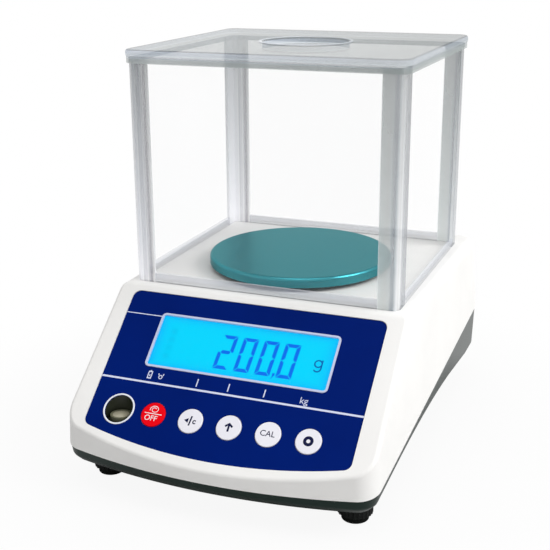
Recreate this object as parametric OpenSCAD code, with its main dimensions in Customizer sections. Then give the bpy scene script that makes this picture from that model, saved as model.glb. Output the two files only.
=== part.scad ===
// Precision balance with a clear draft shield, built as it comes apart on a bench.
// Millimetres, +Z up, front of the balance at -Y, origin on the bench under the middle of the housing.

/* [Housing] */
// Width of the housing low at the front
body_w = 194; // [186:1:206]
// Length of the housing from the bowed front to the rear wall
body_l = 278; // [270:1:296]
// Height of the deck above the bench
deck_h = 106; // [102:1:116]
// Length from the front of the housing to the edge where deck and slope meet
deck_run = 86; // [84:1:92]
// Slope of the control panel from level
panel_angle = 40.9; // [39:0.1:42]
// Depth of the bow in the front
front_bow = 12.3; // [8:0.1:14]
// How much further each side stands out at the rear
rear_flare = 4; // [0:0.1:5]
// Plan radius of the four upright corners
corner_r = 14; // [13:0.5:18]
// Lean of the side walls
side_draft = 3; // [1:0.1:4]
// Lean of the rear wall
rear_draft = 8; // [3:0.1:9]
// Radius along the edge of the deck
deck_edge_r = 6; // [4.5:0.1:8]
// Radius along the front and side edges of the slope
lip_r = 2.6; // [2:0.1:5]
// Wall of both housings
wall = 3; // [2.6:0.1:3.4]
// Height of the parting line at the front
seam_front = 24; // [22:0.1:26]
// Rise of the parting line towards the rear
seam_angle = 6.2; // [4:0.1:7]
// Height of the underside at the front
base_front = 15.6; // [15:0.1:17]
// Rise of the underside towards the rear
base_tilt = 1; // [0.4:0.1:1.5]
// How far the lower housing leans in from the parting line to the underside
base_taper = 1; // [0.5:0.1:3]
// Chamfer round the underside
base_chamfer = 3.5; // [2:0.1:4.5]
// Shadow step of the lower housing inside the parting line
seam_reveal = 0.5; // [0.3:0.1:1.5]
// Floor of the lower housing
floor_t = 3; // [2.5:0.1:4]
// Height of the arch along each side of the underside, at its middle
arch_h = 30; // [26:0.5:31]
// Distance from the front of the housing to the middle of that arch
arch_run = 144; // [138:1:150]
// Radius of that arch
arch_r = 1500; // [1400:10:1800]
// Slope of the face under that arch, from level
arch_lean = 60; // [56:1:66]

/* [Control panel] */
// Width of the blue overlay
panel_w = 165; // [150:1:168]
// Length of the overlay down the slope at its middle
panel_len = 102.4; // [99:0.1:103]
// Distance from the deck edge down the slope to the overlay
panel_top = 5.1; // [4:0.1:6]
// Bow of the overlay's lower edge
panel_bow = 10.3; // [7:0.1:12]
// Corner radius of the overlay
panel_corner_r = 5; // [2:0.5:8]
// Depth of the recess that the overlay lies in
panel_recess = 1.2; // [0.8:0.1:1.4]
// Thickness of the overlay
overlay_t = 0.7; // [0.4:0.1:0.8]
// Gap round the overlay and the pieces let into it
panel_gap = 0.15; // [0.05:0.05:0.3]

/* [Display] */
// Width of the display frame
disp_w = 116; // [108:0.5:120]
// Height of the display frame along the slope
disp_h = 37; // [32:0.5:40]
// Distance from the overlay's upper edge to the display frame
disp_top = 13.3; // [12:0.1:15]
// Width of the frame's moulding
frame_line = 1.4; // [1:0.1:2]
// Corner radius of the display frame
frame_r = 3; // [2.4:0.1:4]
// Height of the frame above the overlay
frame_proud = 0.35; // [0.2:0.05:0.6]
// Thickness of the clear window
window_t = 0.9; // [0.6:0.1:1.1]
// Thickness of the backlight
backlight_t = 4; // [3.5:0.1:5]
// Border of the backlight round the visible area
backlight_border = 3; // [2:0.5:4]
// Thickness of the circuit boards
board_t = 1.6; // [1.2:0.1:2]
// Diameter of the small board screws
board_screw_d = 2.5; // [2:0.1:3]

/* [Keys] */
// Diameter of a key cap
key_d = 15.2; // [13:0.1:16.2]
// Pitch of the keys
key_pitch = 24; // [22:0.1:25]
// Sideways place of the middle key
key_mid_x = 7.3; // [5:0.1:8]
// Distance from the overlay's upper edge to the row of keys
key_row = 80.2; // [79:0.1:82]
// Height of a key above the overlay
key_proud = 0.4; // [0.3:0.1:2]
// Radial gap round a key
key_gap = 0.3; // [0.2:0.05:0.5]
// Width of the flange that holds a key in
key_flange = 1.6; // [1:0.1:2.5]
// Thickness of that flange
key_flange_t = 1.2; // [0.8:0.1:1.4]
// Height of a key switch
switch_h = 1.8; // [1.5:0.1:2]

/* [Spirit level] */
// Distance from the first key to the level
level_step = 22.7; // [22:0.1:24]
// Diameter of the opening over the level
level_open_d = 17.8; // [17:0.1:18.4]
// Outer diameter of the ring round the opening
level_ring_d = 19.8; // [19:0.1:21]
// Height of the ring above the overlay
level_ring_t = 0.4; // [0.3:0.1:0.8]
// Depth of the well under the middle of the opening
level_depth = 8.4; // [8:0.1:9]
// Height of the vial above the bottom of the well
vial_rise = 4; // [3:0.1:4.2]
// How far the vial sits behind the middle of the opening
vial_back = 2.2; // [1.8:0.1:2.4]
// Diameter of the vial
vial_d = 12.4; // [11.6:0.1:12.6]
// Height of the vial
vial_h = 7; // [6:0.1:7.5]
// Wall of the vial and its sleeve
vial_wall = 1.2; // [1:0.1:1.4]
// Thickness of the vial's clear cap
vial_cap_t = 1.5; // [1:0.1:2]

/* [Weighing pan] */
// Diameter of the pan
pan_d = 120; // [110:1:123]
// Height of the pan's rim
pan_rim = 6.5; // [6:0.1:7.5]
// Sheet thickness of the pan
pan_t = 1.5; // [1:0.1:1.8]
// Radius of the pan's upper edge
pan_edge_r = 2; // [1.9:0.1:3]
// Gap from the deck to the pan's rim
pan_lift = 2.8; // [2.4:0.1:4]
// How far the pan sits forward of the shield's middle
pan_forward = 9.5; // [4:0.5:10]
// Diameter of the disc that carries the pan
support_d = 96; // [84:1:100]
// Thickness of that disc
support_t = 3; // [2:0.1:3.2]
// Diameter of the rubber cushions on the disc
cushion_d = 9; // [6:0.5:12]
// Height of the cushions
cushion_h = 1.5; // [1:0.1:1.6]
// Diameter of the post under the disc
post_d = 14; // [12:0.5:16]
// Diameter of the hole in the deck round the post
deck_hole_d = 24; // [20:0.5:26]
// Height of the collar round that hole
collar_h = 1.2; // [0.6:0.1:1.4]

/* [Load cell] */
// Length of the load cell
cell_l = 130; // [120:1:140]
// Width of the load cell
cell_w = 25; // [22:1:30]
// Height of the load cell
cell_h = 22; // [20:1:24]
// Height of the block under its fixed end
block_h = 8; // [6:0.5:10]
// Thickness of the bridge from its free end to the post
bridge_t = 5; // [4:0.5:6]
// Gap that lets the cell bend under the bridge
bridge_gap = 3; // [2:0.5:4]
// Diameter of the cell's screws
cell_screw_d = 5; // [4:0.5:6]
// Gap over the overload stop
stop_gap = 0.5; // [0.3:0.1:0.8]

/* [Draft shield] */
// Width of the shield over its posts
shield_w = 172.5; // [166:0.5:175]
// Depth of the shield over its posts
shield_d = 157; // [154:0.5:161]
// Height of the shield with its lid
shield_h = 145; // [120:0.1:170]
// Distance from the deck edge to the shield
shield_setback = 4.5; // [3.5:0.5:8]
// Length of each leg of a corner post
post_leg = 13.5; // [10:0.5:16]
// Thickness of the legs of a corner post
post_wall = 2.2; // [1.8:0.1:2.4]
// Outer corner radius of a post
post_r = 5; // [3:0.5:6]
// Thickness of a pane
pane_t = 2; // [1.5:0.1:2.4]
// Height of the rails on the deck
rail_h = 6; // [4:0.5:7]
// Height of the rails under the lid
top_rail_h = 3; // [2:0.5:5]
// Thickness of the lid
lid_t = 5; // [4:0.1:6]
// Overhang of the lid
lid_over = 2.3; // [2:0.1:4]
// Corner radius of the lid
lid_corner_r = 8; // [6:0.5:10]
// Depth of the rim that turns down round the posts
rim_h = 3.3; // [2:0.1:6]
// Step from the edge of the lid in to that rim
rim_step = 0.4; // [0.2:0.1:0.8]
// Gap from the rim to the posts
rim_gap = 0.3; // [0.2:0.1:0.6]
// Diameter of the port in the lid
port_d = 56; // [40:1:62]
// Width of the raised rim round the port
port_rim_w = 2.2; // [1.5:0.1:5]
// Height of that rim above the lid
port_rim_h = 0.6; // [0.4:0.1:2]

/* [Levelling feet] */
// Sideways place of the front feet
foot_front_x = 78.8; // [72:0.1:80]
// Distance of the front feet from the front of the housing
foot_front_y = 35.5; // [34:0.5:42]
// Sideways place of the rear feet
foot_rear_x = 66; // [62:0.5:74]
// Distance of the rear feet from the rear of the housing
foot_rear_y = 44; // [38:0.5:50]
// Diameter of the rubber pad
pad_d = 16; // [15:0.5:20]
// Height of the rubber pad
pad_h = 4; // [3.5:0.1:5]
// Diameter of the knurled wheel
wheel_d = 20.5; // [20:0.5:24]
// Height of the knurled wheel
wheel_h = 7; // [6:0.5:7.5]
// Number of grip flutes round the wheel
wheel_flutes = 24; // [18:2:30]
// Diameter of the screw
stud_d = 6; // [5:0.5:7]
// Radial gap of the screw in its insert and of the wheel in its pad
running_gap = 0.06; // [0.04:0.01:0.09]
// Outer diameter of the threaded insert
insert_d = 9.5; // [8.5:0.5:10.5]
// Length of the threaded insert
insert_l = 12; // [10:0.5:14]

/* [Battery and power] */
// Length of the battery
battery_l = 97; // [90:1:100]
// Width of the battery
battery_w = 24; // [20:1:26]
// Height of the battery
battery_h = 51; // [45:1:54]
// Sideways place of the battery
battery_x = 47; // [44:0.5:50]
// Margin of the battery cover round the battery
cover_margin = 4; // [3:0.5:5]
// Thickness of the battery cover
cover_t = 2.4; // [2:0.1:2.5]
// Gap round the battery cover
cover_gap = 0.3; // [0.2:0.1:0.5]
// Sideways place of the power inlet
inlet_x = -58; // [-64:1:-50]
// Diameter of the inlet's nose
inlet_d = 9; // [8:0.5:11]
// Diameter of the inlet's socket
inlet_bore = 6.3; // [5.5:0.1:6.6]
// Width of the main circuit board
main_w = 120; // [100:1:124]
// Depth of the main circuit board
main_d = 46; // [40:1:50]
// Height of the main board's standoffs
standoff_h = 8; // [6:0.5:9]
// Diameter of the case screws
case_screw_d = 3; // [2.5:0.1:3.5]
// Outer diameter of the screw bosses
boss_d = 9; // [8:0.5:10]

/* [Hidden] */
$fn = 96;
hull_fn = 32;
skin = 0.01;
cut = 1;
seat_gap = 0.1;

// Housing surfaces
half_w = body_w / 2;
front_y = -body_l / 2;
rear_y = body_l / 2;
deck_y = front_y + deck_run;
bow_r = (half_w * half_w + front_bow * front_bow) / (2 * front_bow);
bow_y = front_y + bow_r;
corner_x = half_w - corner_r;
corner_y = bow_y - sqrt(pow(bow_r - corner_r, 2) - corner_x * corner_x);
bow_end = atan2(corner_y - bow_y, corner_x);
seam_mid = seam_front + body_l / 2 * tan(seam_angle);
base_mid = base_front + body_l / 2 * tan(base_tilt);
function seam_z(y) = seam_mid + y * tan(seam_angle);
function base_z(y) = base_mid + y * tan(base_tilt);
function floor_z(y) = base_z(y) + floor_t;
function slope_z(y) = deck_h + (y - deck_y) * tan(panel_angle);
function side_x(z) = half_w - (z - seam_front) * tan(side_draft);
function flare(y) = rear_flare * (y - corner_y) / (rear_y - corner_r - corner_y);
function back_y(z) = rear_y - (z - seam_z(rear_y)) * tan(rear_draft);
function arc(c, r, a0, a1, n) = [for (i = [0:n]) let(a = a0 + (a1 - a0) * i / n) c + r * [cos(a), sin(a)]];

// Plan outline at the parting line, drawn in by inset
rear_corner_x = side_x(seam_z(rear_y)) + rear_flare - corner_r;
side_turn = -atan2(rear_corner_x - corner_x, rear_y - corner_r - corner_y);
arch_y = front_y + arch_run;
arch_x = half_w - seam_reveal - (arch_y - corner_y) * tan(side_turn);
function outline(inset) = concat(
    arc([0, bow_y], bow_r - inset, -180 - bow_end, bow_end, 24),
    arc([corner_x, corner_y], corner_r - inset, bow_end, side_turn, 8),
    arc([rear_corner_x, rear_y - corner_r], corner_r - inset, side_turn, 90, 8),
    arc([-rear_corner_x, rear_y - corner_r], corner_r - inset, 90, 180 - side_turn, 8),
    arc([-corner_x, corner_y], corner_r - inset, 180 - side_turn, 180 - bow_end, 8));

// Middles of the balls that round the lower edge of the slope
function lip_path(r) = concat(
    arc([0, bow_y], bow_r - r, -180 - bow_end, bow_end, 10),
    arc([corner_x, corner_y], corner_r - r, bow_end, 0, 4),
    arc([-corner_x, corner_y], corner_r - r, 180, 180 - bow_end, 4));
function lip_z(y, r) = slope_z(y) - r / cos(panel_angle);
function lean_in(x, z) = x - sign(x) * (z - seam_front) * tan(side_draft) * min(1, abs(x) / half_w);

// Control panel stack, measured square to the slope
overlay_z = -panel_recess + overlay_t;
window_w = disp_w - 2 * frame_line;
window_h = disp_h - 2 * frame_line;
disp_y = -(panel_top + disp_top + disp_h / 2);
key_y = -(panel_top + key_row);
key_places = [for (i = [-2:2]) key_mid_x + i * key_pitch];
level_x = level_step - key_places[0];
flange_z = -wall - 2 * seat_gap;
backlight_z = -wall - seat_gap;
board_z = backlight_z - backlight_t;
board_post_d = 6;
board_post_room = 1;
board_edge = 5;
board_over = 4;
board_under = 10;
board_hole_x = key_places[4] + key_d / 2 + key_flange + board_post_d / 2 + board_post_room;
board_half = board_hole_x + board_edge;
board_top = disp_y + disp_h / 2 + board_over;
board_low = key_y - board_under;
board_step = disp_y - disp_h / 2 - board_under;
board_notch = level_x - level_ring_d / 2 - board_edge;
board_holes = [[-board_hole_x, board_top - board_edge], [board_hole_x, board_top - board_edge],
    [-board_hole_x, board_step + board_edge], [board_hole_x, key_y]];
small_head_h = 1.6;

// Spirit level
level_y = deck_y + key_y * cos(panel_angle);
level_mid_z = deck_h + key_y * sin(panel_angle);
well_z = level_mid_z - level_depth;
vial_top = well_z + vial_rise;
sleeve_d = level_open_d + 2 * vial_wall;
sleeve_floor = vial_top - vial_h - vial_wall;

// Pan and load cell
shield_y = deck_y + shield_setback + shield_d / 2;
pan_y = shield_y - pan_forward;
pan_top = deck_h + pan_lift + pan_rim;
support_top = pan_top - pan_t - cushion_h;
cushion_r = support_d / 2 - cushion_d / 2 - 2;
cell_front = pan_y - cell_l / 2;
cell_back = pan_y + cell_l / 2;
cell_end = 30;
pedestal_z = floor_z(cell_back) + 3;
cell_z = pedestal_z + block_h;
cell_top = cell_z + cell_h;
bridge_z = cell_top + bridge_gap;
post_z = bridge_z + bridge_t;
cell_holes = [8, 22];
screw_bite = 10;

// Boards, battery, feet and screws
main_run = 58;
main_y = front_y + main_run;
main_z = floor_z(main_y + main_d / 2) + standoff_h;
main_top = main_z + board_t;
main_holes = [for (sx = [-1, 1], sy = [-1, 1])
    [sx * (main_w / 2 - board_edge), main_y + sy * (main_d / 2 - board_edge)]];
main_screw_bite = 5;
chip_w = 14;
chip_h = 1.6;
chip_left = 24;
chip_right = 10;
socket_w = 18;
socket_d = 6;
socket_h = 7;
socket_left = 46;
socket_right = 26;
socket_back = 8;
can_d = 8;
can_h = 11.2;
can_x = 36;
can_pitch = 10;
ribbon_w = 16;
ribbon_t = 1.2;
cable_d = 3.2;
cable_out = 5;
cable_bend = 8;
cable_rise = 8;
cable_run = 20;
cable_side = 30;
battery_y = pan_y - 6;
battery_gap = 0.5;
ledge_t = 3;
cover_l = battery_l + 2 * cover_margin;
cover_w = battery_w + 2 * cover_margin;
cover_screw_d = 2.2;
cover_screw_y = cover_l / 2 - cover_margin / 2;
inlet_z = (seam_z(rear_y) + base_z(rear_y)) / 2;
inlet_wall_y = rear_y - seam_reveal - base_taper - wall;
feet = [[-foot_front_x, front_y + foot_front_y], [foot_front_x, front_y + foot_front_y],
    [-foot_rear_x, rear_y - foot_rear_y], [foot_rear_x, rear_y - foot_rear_y]];
insert_wall = 2.2;
spigot_d = 8;
spigot_h = 2.5;
stud_spare = 2;
function insert_z(y) = base_z(y) + 1;
case_front_x = 24;
case_front_in = 13;
case_side_in = 12;
case_side_run = 145;
case_rear_in = 17;
case_rear_run = 20;
case_front = [case_front_x, front_y + case_front_in];
case_side = [half_w - case_side_in, front_y + case_side_run];
case_rear = [half_w - case_rear_in, rear_y - case_rear_run];
case_points = [for (p = [case_front, case_side, case_rear], s = [-1, 1]) [s * p.x, p.y]];
case_seat = 5;
case_bite = 9;
case_head_h = 2.4;
case_rise = 1;
function case_z(y) = seam_z(y) + case_rise;

// Shield
lid_z = deck_h + shield_h - lid_t;
pane_in = post_wall + seat_gap;
pane_z = deck_h + seat_gap;
pane_h = lid_z - seat_gap - pane_z;
pane_w = shield_w - 2 * pane_in;
pane_d = shield_d - 2 * pane_in;

// Shared placing and shapes
module on_panel() translate([0, deck_y, deck_h]) rotate([panel_angle, 0, 0]) children();
module at_level() translate([-level_x, level_y, 0]) children();
module at_vial() at_level() translate([0, vial_back, 0]) children();
module at_pan() translate([0, pan_y, 0]) children();
module at_shield() translate([0, shield_y, 0]) children();
module at_battery()
    translate([battery_x, battery_y, base_z(battery_y)]) rotate([base_tilt, 0, 0]) children();
module slab(w, l, z0, z1) translate([-w / 2, -l / 2, z0]) cube([w, l, z1 - z0]);
module rounded_plate(w, d, r) {
    square([w - 2 * r, d], center = true);
    square([w, d - 2 * r], center = true);
    for (sx = [-1, 1], sy = [-1, 1]) translate([sx * (w / 2 - r), sy * (d / 2 - r)]) circle(r);
}
module sloped_ring(inset, z0, angle) {
    multmatrix([[1, 0, 0, 0], [0, 1, 0, 0], [0, tan(angle), 1, z0]])
        linear_extrude(skin) polygon(outline(inset));
}
module swept_cable(route, d) {
    sides = 8;
    last = len(route) - 1;
    ways = [for (i = [0:last]) let(w = route[min(i + 1, last)] - route[max(i - 1, 0)]) w / norm(w)];
    points = [for (i = [0:last], k = [0:sides - 1])
        let(across = cross(ways[i], [0, 0, 1]), s = across / norm(across), a = 360 * k / sides)
        route[i] + d / 2 * (cos(a) * s + sin(a) * cross(s, ways[i]))];
    walls = [for (i = [0:last - 1], k = [0:sides - 1])
        let(a = i * sides + k, b = i * sides + (k + 1) % sides)
        each [[a, b, a + sides], [b, b + sides, a + sides]]];
    ends = [[for (k = [sides - 1:-1:0]) k], [for (k = [0:sides - 1]) last * sides + k]];
    polyhedron(points, concat(walls, ends));
}
module screw(d, length, head_d, head_h) {
    translate([0, 0, -length]) cylinder(d = d, h = length + skin);
    difference() {
        cylinder(d = head_d, h = head_h);
        translate([0, 0, head_h / 2]) cylinder(d = head_d / 2, h = head_h, $fn = 6);
    }
}

// Convex skin of the upper housing, drawn in by inset and lowered at the parting line by drop
module upper_skin(inset, drop) {
    ball_z = deck_h - deck_edge_r;
    ball_x = side_x(ball_z) + flare(deck_y) - deck_edge_r;
    lip = max(lip_r, inset + seat_gap);
    hull($fn = hull_fn) {
        sloped_ring(inset, seam_mid - drop, seam_angle);
        for (p = lip_path(lip)) translate([lean_in(p.x, lip_z(p.y, lip)), p.y, lip_z(p.y, lip)])
            sphere(lip - inset, $fn = hull_fn);
        for (s = [-1, 1]) {
            translate([s * ball_x, deck_y + deck_edge_r * tan(panel_angle / 2), ball_z])
                sphere(deck_edge_r - inset, $fn = hull_fn);
            translate([s * (side_x(ball_z) + rear_flare - corner_r), back_y(ball_z) - corner_r, ball_z])
                rotate_extrude($fn = hull_fn) intersection() {
                    translate([corner_r - deck_edge_r, 0]) circle(deck_edge_r - inset, $fn = hull_fn);
                    translate([0, -deck_edge_r]) square([corner_r, 2 * deck_edge_r]);
                }
        }
    }
}
module lower_skin(inset, floor_up, rise) {
    hull() {
        sloped_ring(seam_reveal + inset, seam_mid - skin + rise, seam_angle);
        sloped_ring(seam_reveal + base_taper + inset, base_mid + base_chamfer + floor_up, base_tilt);
        sloped_ring(seam_reveal + base_taper + base_chamfer + inset, base_mid + floor_up, base_tilt);
    }
}
module side_arches(grow) {
    span = 300;
    reach = 60;
    turn = asin(span / 2 / arch_r);
    for (s = [0, 1]) mirror([s, 0, 0])
        translate([arch_x, arch_y, arch_h]) rotate([0, 0, side_turn]) rotate([0, 90 - arch_lean, 0])
            linear_extrude(2 * reach, center = true) polygon(concat(
                arc([arch_r, 0], arch_r + grow, 180 - turn, 180 + turn, 24),
                [[reach, -span / 2], [reach, span / 2]]));
}
module panel_shape(grow) {
    arc_r = (panel_w * panel_w / 4 + panel_bow * panel_bow) / (2 * panel_bow);
    low = -(panel_top + panel_len);
    offset(r = panel_corner_r + grow, $fn = hull_fn) offset(delta = -panel_corner_r) intersection() {
        translate([-panel_w / 2, low]) square([panel_w, panel_len]);
        translate([0, low + arc_r]) circle(arc_r, $fn = 360);
    }
}

// Housings
module upper_housing() {
    color("gainsboro") difference() {
        union() {
            difference() {
                upper_skin(0, 0);
                upper_skin(wall, cut);
            }
            intersection() {
                upper_skin(wall / 2, 0);
                for (p = case_points) translate([p.x, p.y, case_z(p.y)]) cylinder(d = boss_d, h = deck_h);
            }
            on_panel() for (p = board_holes) translate([p.x, p.y, board_z])
                cylinder(d = board_post_d, h = -board_z - wall / 2);
            at_pan() translate([0, 0, deck_h - wall / 2])
                cylinder(d = deck_hole_d + 2 * wall, h = wall / 2 + collar_h);
        }
        on_panel() {
            translate([0, 0, -panel_recess]) linear_extrude(panel_recess + cut) panel_shape(panel_gap);
            translate([0, disp_y, -wall]) linear_extrude(2 * wall, center = true)
                square([window_w, window_h], center = true);
            for (x = key_places) translate([x, key_y, -2 * wall])
                cylinder(d = key_d + 2 * key_gap, h = 2 * wall);
            for (p = board_holes) translate([p.x, p.y, board_z - cut])
                cylinder(d = board_screw_d, h = backlight_t + cut);
        }
        for (p = case_points) translate([p.x, p.y, case_z(p.y) - cut])
            cylinder(d = case_screw_d, h = case_bite + 2 * cut);
        at_level() translate([0, 0, sleeve_floor]) cylinder(d = sleeve_d + 2 * seat_gap, h = deck_h);
        at_pan() translate([0, 0, deck_h - 2 * wall]) cylinder(d = deck_hole_d, h = 4 * wall);
    }
}
module lower_housing() {
    pedestal_low = base_z(cell_back - cell_end) + 1;
    pedestal_mid = cell_back - cell_end / 2;
    color("darkslategray") difference() {
        union() {
            difference() {
                lower_skin(0, 0, 0);
                side_arches(0);
                difference() {
                    lower_skin(wall, floor_t, cut);
                    side_arches(wall);
                }
            }
            for (p = feet) translate([p.x, p.y, base_z(p.y) + 0.5])
                cylinder(d = insert_d + 2 * insert_wall, h = insert_l + insert_wall);
            for (p = case_points) translate([p.x, p.y, base_z(p.y) + 0.5])
                cylinder(d = boss_d, h = case_z(p.y) - base_z(p.y) - 0.5);
            for (p = main_holes) translate([p.x, p.y, base_z(p.y) + 1])
                cylinder(d = boss_d, h = main_z - base_z(p.y) - 1);
            translate([-cell_w / 2 - 4, pedestal_mid - cell_end / 2, pedestal_low])
                cube([cell_w + 8, cell_end, pedestal_z - pedestal_low]);
            at_battery() slab(cover_w + 2 * wall, cover_l + 2 * wall, 1, cover_t + ledge_t);
        }
        for (p = feet) translate([p.x, p.y, base_z(p.y) - cut])
            cylinder(d = insert_d, h = insert_l + insert_wall + 3);
        for (p = case_points) {
            translate([p.x, p.y, 0]) cylinder(d = case_screw_d + 2 * seat_gap, h = case_z(p.y) + cut);
            translate([p.x, p.y, 0]) cylinder(d = 2 * case_screw_d + 0.6, h = case_z(p.y) - case_seat);
        }
        for (p = main_holes) translate([p.x, p.y, main_z - 6]) cylinder(d = board_screw_d, h = 6 + cut);
        for (d = cell_holes) translate([0, cell_back - d, 0]) {
            cylinder(d = cell_screw_d + 2 * seat_gap, h = pedestal_z + cut);
            cylinder(d = 2 * cell_screw_d, h = base_z(cell_back - d) + floor_t);
        }
        translate([0, cell_front + cell_holes.x, 0]) cylinder(d = cell_screw_d, h = pedestal_z);
        at_battery() {
            slab(cover_w + 2 * cover_gap, cover_l + 2 * cover_gap, -cut, cover_t + seat_gap);
            slab(battery_w + 2 * battery_gap, battery_l + 2 * battery_gap, -cut, cover_t + ledge_t + cut);
            for (s = [-1, 1]) translate([0, s * cover_screw_y, 0])
                cylinder(d = cover_screw_d, h = cover_t + ledge_t + cut);
        }
        translate([inlet_x, rear_y - 2 * wall - base_taper, inlet_z]) rotate([-90, 0, 0])
            cylinder(d = inlet_d + 2 * seat_gap, h = 4 * wall);
    }
}

// Control panel
module panel_overlay() {
    color("midnightblue") on_panel() difference() {
        translate([0, 0, -panel_recess]) linear_extrude(overlay_t) panel_shape(0);
        translate([0, disp_y, -wall]) linear_extrude(2 * wall)
            rounded_plate(disp_w + 2 * panel_gap, disp_h + 2 * panel_gap, frame_r + panel_gap);
        for (x = key_places) translate([x, key_y, -wall]) cylinder(d = key_d + 2 * key_gap, h = 2 * wall);
        translate([-level_x, key_y, -wall]) cylinder(d = level_open_d, h = 2 * wall);
    }
}
module display_frame() {
    color("lavender") on_panel() translate([0, disp_y, -panel_recess]) difference() {
        linear_extrude(overlay_t + frame_proud) rounded_plate(disp_w, disp_h, frame_r);
        translate([0, 0, -cut]) linear_extrude(overlay_t + frame_proud + 2 * cut)
            rounded_plate(window_w, window_h, frame_r - frame_line);
    }
}
module display_window() {
    color("lightcyan", 0.4) on_panel() translate([0, disp_y, -panel_recess]) linear_extrude(window_t)
        rounded_plate(window_w - 2 * seat_gap, window_h - 2 * seat_gap, frame_r - frame_line - seat_gap);
}
module lcd_panel() {
    lcd_gap = 2 * seat_gap;
    color("deepskyblue") on_panel() translate([0, disp_y, backlight_z])
        linear_extrude(-panel_recess - backlight_z)
            square([window_w - 2 * lcd_gap, window_h - 2 * lcd_gap], center = true);
}
module lcd_backlight() {
    color("white") on_panel() translate([0, disp_y, board_z]) linear_extrude(backlight_t)
        square([window_w + 2 * backlight_border, window_h + 2 * backlight_border], center = true);
}
module display_board() {
    color("seagreen") on_panel() translate([0, 0, board_z - board_t]) difference() {
        linear_extrude(board_t) {
            translate([-board_half, board_step]) square([2 * board_half, board_top - board_step]);
            translate([-board_notch, board_low]) square([board_notch + board_half, board_step - board_low]);
        }
        for (p = board_holes) translate([p.x, p.y, -cut])
            cylinder(d = board_screw_d + 2 * seat_gap, h = board_t + 2 * cut);
    }
}
module key_switches() {
    switch_w = 6;
    stem_h = 0.4;
    color("dimgray") on_panel() for (x = key_places) translate([x, key_y, board_z]) {
        translate([-switch_w / 2, -switch_w / 2, 0]) cube([switch_w, switch_w, switch_h - stem_h]);
        cylinder(d = switch_w / 2, h = switch_h);
    }
}
module display_board_screws() {
    color("silver") on_panel() for (p = board_holes) translate([p.x, p.y, board_z - board_t])
        mirror([0, 0, 1])
            screw(board_screw_d - 2 * seat_gap, board_t + backlight_t - cut, 2 * board_screw_d, small_head_h);
}
module key_cap(i) {
    top = overlay_z + key_proud;
    edge = 0.5;
    on_panel() translate([key_places[i], key_y, 0]) rotate_extrude() polygon(concat(
        [[0, flange_z - key_flange_t], [key_d / 2 + key_flange, flange_z - key_flange_t],
            [key_d / 2 + key_flange, flange_z], [key_d / 2, flange_z]],
        arc([key_d / 2 - edge, top - edge], edge, 0, 90, 6),
        [[0, top]]));
}
module power_key() color("red") key_cap(0);
module tare_key() color("ghostwhite") key_cap(1);
module up_key() color("ghostwhite") key_cap(2);
module cal_key() color("ghostwhite") key_cap(3);
module unit_key() color("ghostwhite") key_cap(4);

// Spirit level
module level_ring() {
    color("white") on_panel() translate([-level_x, key_y, overlay_z]) difference() {
        cylinder(d = level_ring_d, h = level_ring_t);
        translate([0, 0, -cut]) cylinder(d = level_open_d, h = level_ring_t + 2 * cut);
    }
}
module level_sleeve() {
    color("black") difference() {
        at_level() translate([0, 0, sleeve_floor]) cylinder(d = sleeve_d, h = deck_h - sleeve_floor);
        at_level() translate([0, 0, well_z]) cylinder(d = level_open_d, h = deck_h);
        at_vial() translate([0, 0, sleeve_floor + vial_wall])
            cylinder(d = vial_d + 2 * seat_gap, h = deck_h);
        on_panel() translate([-level_x, key_y, -panel_recess + deck_h / 2])
            cube([2 * deck_h, 2 * deck_h, deck_h], center = true);
    }
}
module level_vial() {
    color("dimgray") at_vial() translate([0, 0, sleeve_floor + vial_wall]) difference() {
        cylinder(d = vial_d, h = vial_h);
        translate([0, 0, vial_wall]) cylinder(d = vial_d - 2 * vial_wall, h = vial_h);
    }
}
module level_fluid() {
    bubble_d = 4;
    fluid_h = vial_h - vial_cap_t - vial_wall;
    color("khaki") at_vial() translate([0, 0, vial_top - vial_cap_t - fluid_h]) difference() {
        cylinder(d = vial_d - 2 * vial_wall - 2 * seat_gap, h = fluid_h);
        translate([0, 0, fluid_h + bubble_d / 4]) sphere(d = bubble_d);
    }
}
module level_cap() {
    color("lightcyan", 0.5) at_vial() translate([0, 0, vial_top - vial_cap_t])
        cylinder(d = vial_d - 2 * vial_wall - 2 * seat_gap, h = vial_cap_t);
}

// Pan and load cell
module weighing_pan() {
    r = pan_d / 2;
    low = deck_h + pan_lift;
    color("cadetblue") at_pan() rotate_extrude($fn = 180) polygon(concat(
        [[0, pan_top - pan_t], [r - pan_t, pan_top - pan_t], [r - pan_t, low], [r, low]],
        arc([r - pan_edge_r, pan_top - pan_edge_r], pan_edge_r, 0, 90, 8),
        [[0, pan_top]]));
}
module pan_cushions() {
    color("black") at_pan() for (a = [45:90:315]) rotate([0, 0, a])
        translate([cushion_r, 0, support_top]) cylinder(d = cushion_d, h = cushion_h);
}
module pan_support() {
    window_mid = (post_d / 2 + wall + cushion_r) / 2;
    window_d = cushion_r - post_d / 2 - 3 * wall;
    color("silver") at_pan() translate([0, 0, support_top - support_t]) difference() {
        cylinder(d = support_d, h = support_t);
        for (a = [0:90:270]) rotate([0, 0, a]) translate([window_mid, 0, -cut])
            cylinder(d = window_d, h = support_t + 2 * cut);
    }
}
module pan_post() {
    color("lightgray") at_pan() translate([0, 0, post_z])
        cylinder(d = post_d, h = support_top - support_t - post_z);
}
module load_bridge() {
    reach = pan_y + post_d - cell_front;
    color("lightgray") difference() {
        union() {
            translate([-cell_w / 2, cell_front, bridge_z]) cube([cell_w, reach, bridge_t]);
            translate([-cell_w / 2, cell_front, cell_top]) cube([cell_w, cell_end, bridge_gap]);
        }
        for (d = cell_holes) translate([0, cell_front + d, cell_top - cut])
            cylinder(d = cell_screw_d + 2 * seat_gap, h = bridge_gap + bridge_t + 2 * cut);
    }
}
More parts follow.
